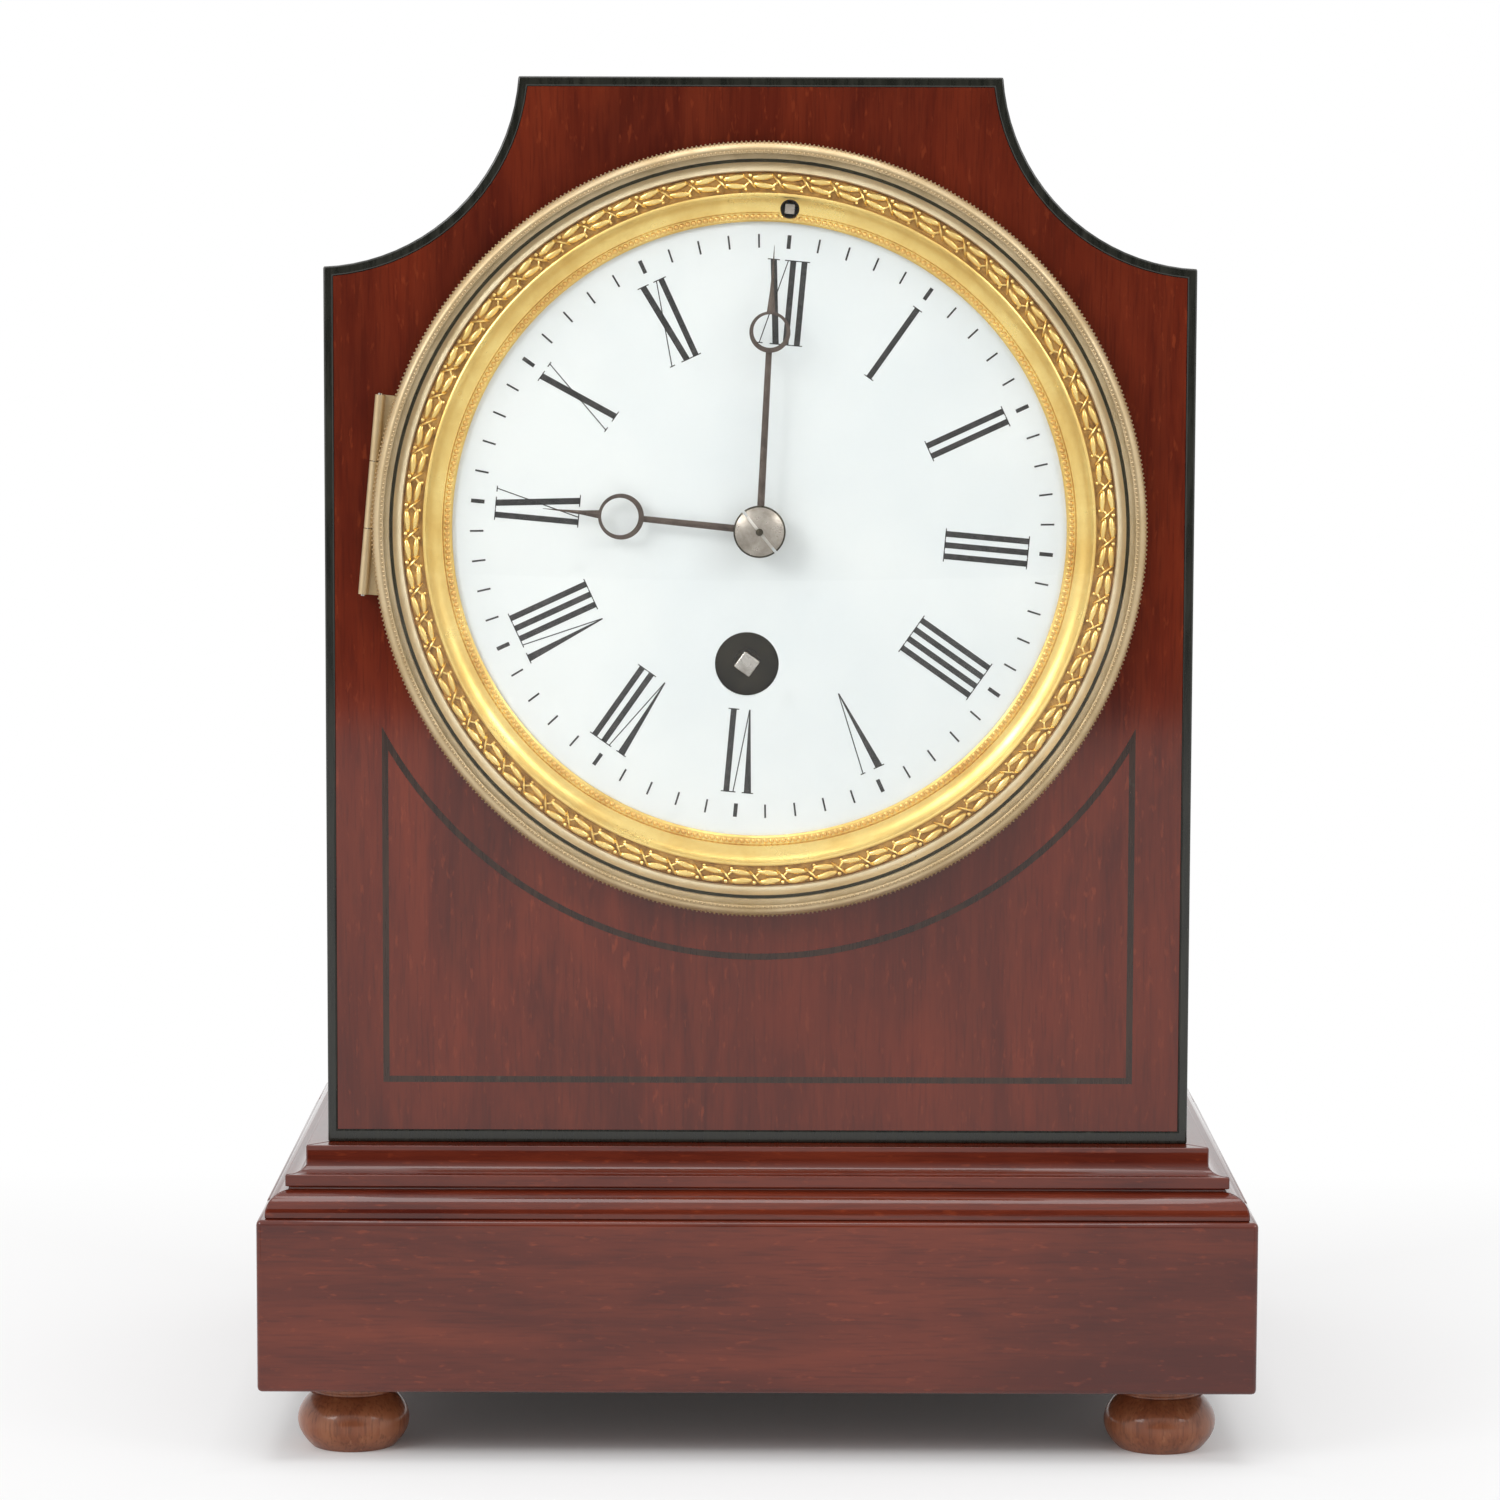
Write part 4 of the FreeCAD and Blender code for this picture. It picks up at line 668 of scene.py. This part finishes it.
def buildSightRing():
    face = sightRing["face"]
    inner = sightRing["inner"]
    outer = sightRing["outer"]
    steps = sightRing["steps"]
    shape = bmesh.new()
    hollow = arcPoints((face - 1.9, inner + 1.8), (face - 3.5, inner + 4.7), -0.42, 8)
    lip = [(face - front, inner + out) for front, out in sightRing["lip"]]
    gold = [(face - 1.0, inner + 0.35), (face - 1.0, inner + 1.6)] + hollow + lip
    trough = [lip[-1]] + arcPoints((face - 3.28, inner + 5.8), (face - 3.28, outer - 2.15), 0.3, 6)
    trough += [(face - 3.45, outer - 1.9)]
    band = arcPoints((face - 3.95, outer - 1.7), (face - 3.1, outer - 0.05), 0.16, 5)
    cream = [trough[-1]] + band + [(face - 2.1, outer), (face - 2.0, inner + 3.0)]
    inside = [cream[-1], (face - 0.05, inner + 2.6), (face - 0.05, inner), (face - 0.7, inner), gold[0]]
    spinSection(shape, gold, steps, 0, closed=False)
    spinSection(shape, trough, steps, 4, closed=False)
    spinSection(shape, cream, steps, 1, closed=False)
    spinSection(shape, inside, steps, 0, closed=False)
    holeRadius, holeOut = sightRing["keyHole"]
    shape = boreThrough(shape, holeRadius, holeOut, face - 5, face + 1)
    # bush in the regulating hole, painted dark brown as the shade inside the hole
    bush = [(face - front, holeRadius - less) for front, less in sightRing["bush"]]
    spinSection(shape, bush, 40, 5, centre=(0, holeOut))
    # beaded inner edge, without the bead that the hole cuts away
    before = allGeometry(shape)
    pitch = fullTurn / sightRing["beads"]
    bead = sightRing["bead"]
    out = inner + bead["out"]
    middle = (out * math.sin(pitch), face - bead["front"], out * math.cos(pitch))
    addBall(shape, middle, bead["size"], index=2)
    repeatRound(shape, before, sightRing["beads"], left=1)
    # laurel leaves in two rows, tied by a slanting ribbon, with a pearl between
    before = allGeometry(shape)
    for (across, front, out), size, turned in sightRing["laurel"]:
        addBall(shape, (across, face - front, inner + out), size, turned, index=3)
    repeatRound(shape, before, sightRing["repeats"])
    finishes = [giltBright, giltPale, giltBead, giltLeaf, giltShadedGround, shadedBoreBrass]
    return finishPiece("sightRing", shape, finishes, "case", ["sight_ring"], drum)


# the opening bezel with its milled edge
bezel = {
    "back": -66.72,
    "inner": 71.2,
    "outer": 73.4,
    "steps": 288,
    # pairs are (in front of the back, out from the inner edge)
    "lip": ((0.02, 0.95), (3.3, 0.95), (3.3, 0.02), (4.15, 0.02), (4.25, 0.15), (4.25, 0.4), (3.9, 0.5)),
    "ribs": 540,
    "rib": {"front": 2.0, "in": 0.2, "size": (0.25, 1.3, 0.42)},
    "bead": {"front": 4.2, "out": 0.36, "size": (0.26, 0.34, 0.3)},
    "hinge": (-73.9, -66.92),
    "knuckle": 0.95,
    "half": 6.33,
    "leaf": {"across": 1.1, "front": 0.45, "wide": 1.6, "thick": 0.86},
}


def buildBezel():
    back = bezel["back"]
    inner = bezel["inner"]
    outer = bezel["outer"]
    shape = bmesh.new()
    rim = arcPoints((back - 3.9, inner + 0.8), (back - 2.6, outer - 0.12), 0.3, 8)
    lip = [(back - front, inner + out) for front, out in bezel["lip"]]
    section = [(back - 0.02, outer - 0.15)] + lip + rim
    spinSection(shape, section, bezel["steps"], 0)
    # milled ribs across the band and fine beads along its inner edge
    before = allGeometry(shape)
    bead = bezel["bead"]
    rib = bezel["rib"]
    addBall(shape, (0, back - bead["front"], inner + bead["out"]), bead["size"], segments=(6, 5))
    addBall(shape, (0, back - rib["front"], outer - rib["in"]), rib["size"], segments=(6, 5))
    repeatRound(shape, before, bezel["ribs"])
    # middle knuckle of the hinge and its leaf
    across, depth = bezel["hinge"]
    length = 2 * bezel["half"] * mm
    bmesh.ops.create_cone(
        shape,
        cap_ends=True,
        segments=28,
        radius1=bezel["knuckle"] * mm,
        radius2=bezel["knuckle"] * mm,
        depth=length,
        matrix=moved(across, depth, 0),
    )
    leaf = bezel["leaf"]
    size = Matrix.Diagonal((leaf["wide"] * mm, leaf["thick"] * mm, length, 1))
    place = moved(across + leaf["across"], back - leaf["front"], 0)
    bmesh.ops.create_cube(shape, size=1, matrix=place @ size)
    return finishPiece("bezelRim", shape, [rimBrass], "bezel", ["bezel"], drum, sharp=50)


# numerals and minute track
dialTrack = {
    "face": -64.42,
    "lift": 0.03,
    "centre": (0.45, 0.55),
    "scale": 0.992,
    "foot": 35.1,
    "head": 51.3,
    "stroke": 1.12,
    "pitch": 2.15,
    "hair": 0.2,
    "serif": 0.48,
    "tick": (53.4, 56.0),
    "tickWidth": 0.35,
    "hourTickWidth": 0.75,
    # how far the first and last letters reach from their own middles
    "reach": {"I": (-0.56, 0.56), "X": (-2.05, 2.05), "V": (-1.7, 1.9)},
    "cross": {
        "head": -0.75,
        "foot": 1.1,
        "width": 1.2,
        "hairHead": 2.05,
        "hairFoot": -2.05,
        "serif": 1.15,
        "hairSerif": 0.55,
        "serifSet": 0.1,
        "next": 3.0,
    },
    "vee": {
        "head": -1.0,
        "width": 1.4,
        "tip": 0.2,
        "hairHead": 1.8,
        "hairFoot": 0.05,
        "serif": 1.1,
        "hairSerif": 0.5,
        "next": 3.1,
        "aloneSpread": 1.2,
    },
}
numerals = ["XII", "I", "II", "III", "IIII", "V", "VI", "VII", "VIII", "IX", "X", "XI"]


def addStroke(shape, foot, head, width, turned, footWidth=None):
    # painted stroke from foot to head, both (across, out), turned clockwise round the dial
    middle = ((foot[0] + head[0]) / 2, (foot[1] + head[1]) / 2)
    slant = head[0] - foot[0]
    rise = head[1] - foot[1]
    sheared = Matrix(
        (
            (width * mm, 0, slant * mm, middle[0] * mm),
            (0, dialTrack["lift"] * mm, 0, (dialTrack["face"] - dialTrack["lift"] / 2) * mm),
            (0, 0, rise * mm, middle[1] * mm),
            (0, 0, 0, 1),
        )
    )
    made = bmesh.ops.create_cube(shape, size=1)["verts"]
    if footWidth is not None:
        bmesh.ops.scale(shape, vec=(footWidth / width, 1, 1), verts=[vert for vert in made if vert.co.z < 0])
    bmesh.ops.transform(shape, matrix=turnedBy(turned, "Y") @ sheared, verts=made)


def addSerif(shape, across, out, half, turned):
    hair = dialTrack["hair"]
    addStroke(shape, (across, out - hair / 2), (across, out + hair / 2), 2 * half, turned)


def addNumeral(shape, text, turned):
    hair = dialTrack["hair"]
    foot = dialTrack["foot"]
    head = dialTrack["head"]
    low = foot + hair / 2
    high = head - hair / 2
    cross = dialTrack["cross"]
    vee = dialTrack["vee"]
    # the letters' places, from the first letter's own middle
    places = [0.0]
    for letter, following in zip(text, text[1:]):
        wide = cross if "X" in (letter, following) else vee
        step = dialTrack["pitch"] if letter == following == "I" else wide["next"]
        places.append(places[-1] + step)
    reach = dialTrack["reach"]
    middle = (places[0] + reach[text[0]][0] + places[-1] + reach[text[-1]][1]) / 2
    for letter, place in zip(text, places):
        x = place - middle
        if letter == "I":
            addStroke(shape, (x, low), (x, high), dialTrack["stroke"], turned)
            for out in (low, high):
                addSerif(shape, x, out, dialTrack["stroke"] / 2 + dialTrack["serif"], turned)
        if letter == "X":
            addStroke(shape, (x + cross["foot"], low), (x + cross["head"], high), cross["width"], turned)
            addStroke(shape, (x + cross["hairFoot"], low), (x + cross["hairHead"], high), hair, turned)
            addSerif(shape, x + cross["head"], high, cross["serif"], turned)
            addSerif(shape, x + cross["foot"], low, cross["serif"], turned)
            addSerif(shape, x + cross["hairHead"] - cross["serifSet"], high, cross["hairSerif"], turned)
            addSerif(shape, x + cross["hairFoot"] + cross["serifSet"], low, cross["hairSerif"], turned)
        if letter == "V":
            spread = vee["aloneSpread"] if text == "V" else 1.0
            stemHead = vee["head"] * spread
            hairHead = vee["hairHead"] * spread
            addStroke(shape, (x, foot), (x + stemHead, high), vee["width"], turned, vee["tip"])
            addStroke(shape, (x + vee["hairFoot"], foot), (x + hairHead, high), hair, turned)
            addSerif(shape, x + stemHead, high, vee["serif"], turned)
            addSerif(shape, x + hairHead, high, vee["hairSerif"], turned)


def buildDialPaint():
    shape = bmesh.new()
    for hour, text in enumerate(numerals):
        addNumeral(shape, text, hour * 30)
    low, high = dialTrack["tick"]
    for minute in range(60):
        thick = minute % 5 == 0
        width = dialTrack["hourTickWidth"] if thick else dialTrack["tickWidth"]
        addStroke(shape, (0, low), (0, high), width, minute * 6)
    across, up = dialTrack["centre"]
    scale = dialTrack["scale"]
    place = drum @ moved(across, 0, up) @ Matrix.Diagonal((scale, 1, scale, 1))
    return finishPiece("dialNumerals", shape, [paint], "case", (), place)


# hands
hands = {
    "minute": {
        "length": 54.0,
        "moon": 37.7,
        "radius": 3.88,
        "hole": 3.15,
        "shift": 0.2,
        "turned": -2.4,
        "depth": -68.37,
        "hub": 3.4,
    },
    "hour": {
        "length": 41.3,
        "moon": 26.4,
        "radius": 4.35,
        "hole": 3.55,
        "shift": 0.22,
        "turned": 270.6,
        "depth": -66.57,
        "hub": 3.6,
    },
    "thickness": 0.5,
    "arm": (0.7, 0.58),
    "armStart": 1.0,
    "armLap": 0.15,
    "spearLap": 0.2,
    "spear": ((0.0, 0.8), (0.3, 0.42), (0.62, 0.2), (1.0, 0.04)),
}


def buildHand(kind, node, body):
    hand = hands[kind]
    half = hands["thickness"] / 2
    shape = bmesh.new()
    out = turnedBy(-90, "X")

    def addBar(start, end, wide, narrow):
        # slim bar with a ridge along its middle, from start to end out from the hub
        flattened = Matrix.Diagonal((1, half / hands["spear"][0][1], 1, 1))
        bmesh.ops.create_cone(
            shape,
            cap_ends=True,
            segments=4,
            radius1=wide * mm,
            radius2=narrow * mm,
            depth=(end - start) * mm,
            matrix=moved(0, 0, (start + end) / 2) @ flattened,
        )

    moon = hand["moon"]
    addBar(hands["armStart"], moon - hand["radius"] + hands["armLap"], *hands["arm"])
    start = moon + hand["radius"] - hands["spearLap"]
    reach = hand["length"] - start
    for (low, wide), (high, narrow) in zip(hands["spear"], hands["spear"][1:]):
        addBar(start + reach * low, start + reach * high, wide, narrow)
    hub = hand["hub"] * mm
    bmesh.ops.create_cone(
        shape, cap_ends=True, segments=48, radius1=hub, radius2=hub, depth=2 * half * mm, matrix=out
    )
    flat = moved(0, half, 0) @ out
    ringPlace = moved(0, 0, moon) @ flat
    holePlace = moved(0, 0, moon + hand["shift"]) @ flat
    bmesh.ops.create_circle(shape, segments=64, radius=hand["radius"] * mm, matrix=ringPlace)
    bmesh.ops.create_circle(shape, segments=64, radius=hand["hole"] * mm, matrix=holePlace)
    loops = [edge for edge in shape.edges if edge.is_wire]
    ring = bmesh.ops.bridge_loops(shape, edges=loops)["faces"]
    lifted = bmesh.ops.extrude_face_region(shape, geom=ring, use_keep_orig=True)["geom"]
    fresh = [item for item in lifted if isinstance(item, bmesh.types.BMVert)]
    bmesh.ops.translate(shape, vec=(0, -2 * half * mm, 0), verts=fresh)
    place = drum @ moved(0, hand["depth"], 0) @ turnedBy(hand["turned"], "Y")
    return finishPiece(kind + "Hand", shape, [darkSteel], body, [node], place, sharp=28)


nut = {
    "radius": 4.95,
    "back": -68.7,
    "front": -70.5,
    "rim": 0.4,
    "bulge": 0.42,
    "roundEdge": (0.2, 0.32),
    "bore": 2.0,
    "slot": -44,
    "slotWidth": 0.56,
    "slotDepth": 0.4,
    "pit": 0.7,
    "outline": 0.42,
}


def buildNut():
    radius = nut["radius"]
    back = nut["back"]
    rim = back - nut["rim"]
    forward, inward = nut["roundEdge"]
    dome = arcPoints((nut["front"], 0.0), (rim - forward, radius - inward), nut["bulge"], 12)
    # one half of the dome, cut along the slot, then mirrored
    shape = bmesh.new()
    section = [(depth, max(out, axisGap)) for depth, out in dome]
    section += [(rim, radius), (back, radius), (back, nut["bore"])]
    section += [(nut["front"] + 1.0, nut["bore"]), (nut["front"] + 1.0, axisGap)]
    spinSection(shape, section, 96)
    bmesh.ops.remove_doubles(shape, verts=shape.verts, dist=1e-6)
    everything = shape.verts[:] + shape.edges[:] + shape.faces[:]
    edge = nut["slotWidth"] / 2 * mm
    cut = bmesh.ops.bisect_plane(
        shape, geom=everything, plane_co=(edge, 0, 0), plane_no=(1, 0, 0), clear_inner=True
    )["geom_cut"]
    bmesh.ops.holes_fill(shape, edges=[item for item in cut if isinstance(item, bmesh.types.BMEdge)], sides=0)
    bmesh.ops.mirror(shape, geom=shape.verts[:] + shape.edges[:] + shape.faces[:], merge_dist=0, axis="X")
    # painted shade: a dark band round the rim of the nut, in the dark steel
    for face in shape.faces:
        if face.calc_center_median().xz.length > (radius - nut["outline"]) * mm:
            face.material_index = 1
    # floor of the slot, painted pale as a highlight, and the small pit at its middle, painted dark as shade
    deep = nut["slotDepth"]
    floor = [(depth + deep, max(out - 0.1, axisGap)) for depth, out in dome[:-2]]
    floor += [(back - 0.15, floor[-1][1] + 0.1), (back - 0.15, nut["bore"]), (nut["front"] + 1.2, axisGap)]
    spinSection(shape, floor, 64, 2)
    before = set(shape.faces)
    pit = moved(0, nut["front"] - 0.22, 0) @ Matrix.Diagonal((1, 0.35, 1, 1))
    bmesh.ops.create_uvsphere(shape, u_segments=16, v_segments=8, radius=nut["pit"] * mm, matrix=pit)
    markFaces(shape, before, 1)
    place = drum @ turnedBy(nut["slot"], "Y")
    finishes = [nutSteel, shadedSteel, slotHighlight]
    return finishPiece("handNut", shape, finishes, "minute", ["hand_nut"], place, sharp=40)


# winding arbor, seen through the hole in the dial
windingArbor = {
    "down": -25.6,
    "square": 3.65,
    "turned": 31,
    "front": -64.82,
    "shoulder": -61.02,
    "lap": 0.3,
    "ease": 0.3,
    "shaft": 2.4,
    "hub": (-50.02, -41.62, 4.0),
    "pivot": (-36.82, -22.42, 1.4),
}


def buildWindingArbor():
    down = windingArbor["down"]
    shoulder = windingArbor["shoulder"]
    front = windingArbor["front"]
    shape = bmesh.new()
    # round shaft, hub for the mainspring and back pivot
    shaft = windingArbor["shaft"]
    hubFront, hubBack, hub = windingArbor["hub"]
    pivotFront, pivotBack, pivot = windingArbor["pivot"]
    section = [(shoulder, axisGap), (shoulder, shaft), (hubFront, shaft), (hubFront, hub), (hubBack, hub)]
    section += [(hubBack, shaft), (pivotFront, shaft), (pivotFront, pivot), (pivotBack, pivot)]
    section += [(pivotBack, axisGap)]
    spinSection(shape, section, 40, 1, closed=False, centre=(0, down))
    side = windingArbor["square"]
    length = shoulder + windingArbor["lap"] - front
    place = moved(0, front + length / 2, down) @ turnedBy(windingArbor["turned"], "Y")
    size = Matrix.Diagonal((side * mm, length * mm, side * mm, 1))
    made = bmesh.ops.create_cube(shape, size=1, matrix=place @ size)["verts"]
    edges = list({edge for vert in made for edge in vert.link_edges})
    ease = windingArbor["ease"] * mm
    bmesh.ops.bevel(shape, geom=edges, offset=ease, segments=3, profile=0.5, affect="EDGES", material=-1)
    finishes = [brightSteel, shadedSteel]
    return finishPiece("windingSquare", shape, finishes, "winding", ["winding_arbor"], drum)


# the domed glass
glassDome = {"seat": -68.62, "thickness": 1.4, "rise": 7.0, "edge": 70.4, "radius": 72.0, "steps": 24}


def buildGlass():
    seat = glassDome["seat"]
    rise = glassDome["rise"]
    edge = glassDome["edge"]
    ball = (edge**2 + rise**2) / (2 * rise)
    front = []
    back = []
    steps = glassDome["steps"]
    for step in range(steps + 1):
        radius = max(edge * step / steps, axisGap)
        drop = ball - math.sqrt(ball**2 - radius**2)
        back.append((seat - rise + drop, radius))
        front.append((seat - rise - glassDome["thickness"] + drop, radius))
    rim = [(seat - glassDome["thickness"] + 0.02, glassDome["radius"]), (seat, glassDome["radius"])]
    shape = bmesh.new()
    spinSection(shape, front + rim + list(reversed(back)), 128, closed=False)
    return finishPiece("domedGlass", shape, [glass], "bezel", ["bezel_glass"], drum)


buildSightRing()
buildBezel()
buildDialPaint()
buildHand("hour", "hour_hand", "hour")
buildHand("minute", "minute_hand", "minute")
buildNut()
buildWindingArbor()
buildGlass()
print("dial and bezel made")


# turned feet
foot = {
    "radius": 10.9,
    "height": 13.84,
    "neck": 0.72,
    "side": 78.4,
    "end": 60.91,
    "belly": {"height": 0.76, "start": 0.16, "turn": 0.7, "fullness": 0.8, "width": 0.995, "steps": 14},
    # pairs are (out from the neck in mm, share of the height)
    "line": (
        (0.75, 0.77),
        (0.35, 0.785),
        (0.35, 0.81),
        (0.7, 0.83),
        (0.7, 0.87),
        (0.3, 0.89),
        (0, 0.9),
        (0, 1),
    ),
}


def buildFoot(nodeName, side, end):
    radius = foot["radius"]
    height = foot["height"]
    neck = radius * foot["neck"]
    belly = foot["belly"]
    # a bun with a fine line turned above its belly, and a short neck under the plinth
    inner = neck * 0.6
    section = [(axisGap, 0.0), (neck * 0.8, 0.0)]
    for step in range(belly["steps"] + 1):
        share = step / belly["steps"]
        swell = math.sin(math.pi * (belly["start"] + belly["turn"] * share)) ** belly["fullness"]
        section.append((inner + (radius * belly["width"] - inner) * swell, height * belly["height"] * share))
    section += [(neck + out, height * high) for out, high in foot["line"]] + [(axisGap, height)]
    shape = bmesh.new()
    corners = [shape.verts.new((out * mm, 0, high * mm)) for out, high in section]
    edges = [shape.edges.new(pair) for pair in zip(corners, corners[1:])]
    bmesh.ops.spin(
        shape,
        geom=corners + edges,
        cent=(0, 0, 0),
        axis=(0, 0, 1),
        dvec=(0, 0, 0),
        angle=fullTurn,
        steps=72,
        use_merge=True,
    )
    place = moved(side * foot["side"], end * foot["end"], 0)
    name = "".join(part.capitalize() for part in nodeName.split("_"))
    return finishPiece("turned" + name, shape, [footWood], "case", [nodeName], place, sharp=45)


for nodeName, side, end in (
    ("foot_front_left", -1, -1),
    ("foot_front_right", 1, -1),
    ("foot_back_left", -1, 1),
    ("foot_back_right", 1, 1),
):
    buildFoot(nodeName, side, end)
print("feet turned")


# trim of the back cover
coverTrim = {
    "radius": 64.0,
    "low": 66.95,
    "back": 69.72,
    "ribs": 300,
    "rib": (0.5, 1.25, 0.34),
    "rings": ((60.0, 0.9, 0.5), (22.0, 0.6, 0.35)),
    "ringSteps": 8,
}


def buildCoverTrim():
    shape = bmesh.new()
    back = coverTrim["back"]
    for radius, half, rise in coverTrim["rings"]:
        angles = [math.pi * step / coverTrim["ringSteps"] for step in range(coverTrim["ringSteps"] + 1)]
        bead = [(back - 0.2 + rise * math.sin(angle), radius - half * math.cos(angle)) for angle in angles]
        spinSection(shape, bead + [(back - 0.3, radius + half), (back - 0.3, radius - half)], 160)
    # milled edge for opening it
    before = allGeometry(shape)
    middle = (coverTrim["low"] + back) / 2 - 0.1
    addBall(shape, (0, middle, coverTrim["radius"] - 0.1), coverTrim["rib"], segments=(6, 5))
    repeatRound(shape, before, coverTrim["ribs"])
    return finishPiece("coverTrim", shape, [rimBrass], "rear_cover", (), drum, sharp=50)


buildCoverTrim()


# case pieces with eased arrises
eased = {
    "plinth_front": (crossWood, "mahogany", 0.9),
    "plinth_back": (crossWood, "mahogany", 0.9),
    "plinth_left": (returnWood, "mahogany", 0.6),
    "plinth_right": (returnWood, "mahogany", 0.6),
    "moulding_front": (crossWood, "mahogany", 0.25),
    "moulding_back": (crossWood, "mahogany", 0.25),
    "moulding_left": (returnWood, "mahogany", 0.25),
    "moulding_right": (returnWood, "mahogany", 0.25),
    "edge_stringing": (ebony, "ebonised", 0.35),
    "shoulder_left": (caseWood, "mahogany", 0.15),
    "shoulder_right": (caseWood, "mahogany", 0.15),
    "rear_ring": (rimBrass, "gilt_brass", 0.3),
}
for nodeName, (material, slotName, width) in eased.items():
    softened(nodeName + ".eased", nodeName, material, "case", width)
softened("rear_cover.eased", "rear_cover", rimBrass, "rear_cover", 0.25)
print("case pieces eased")
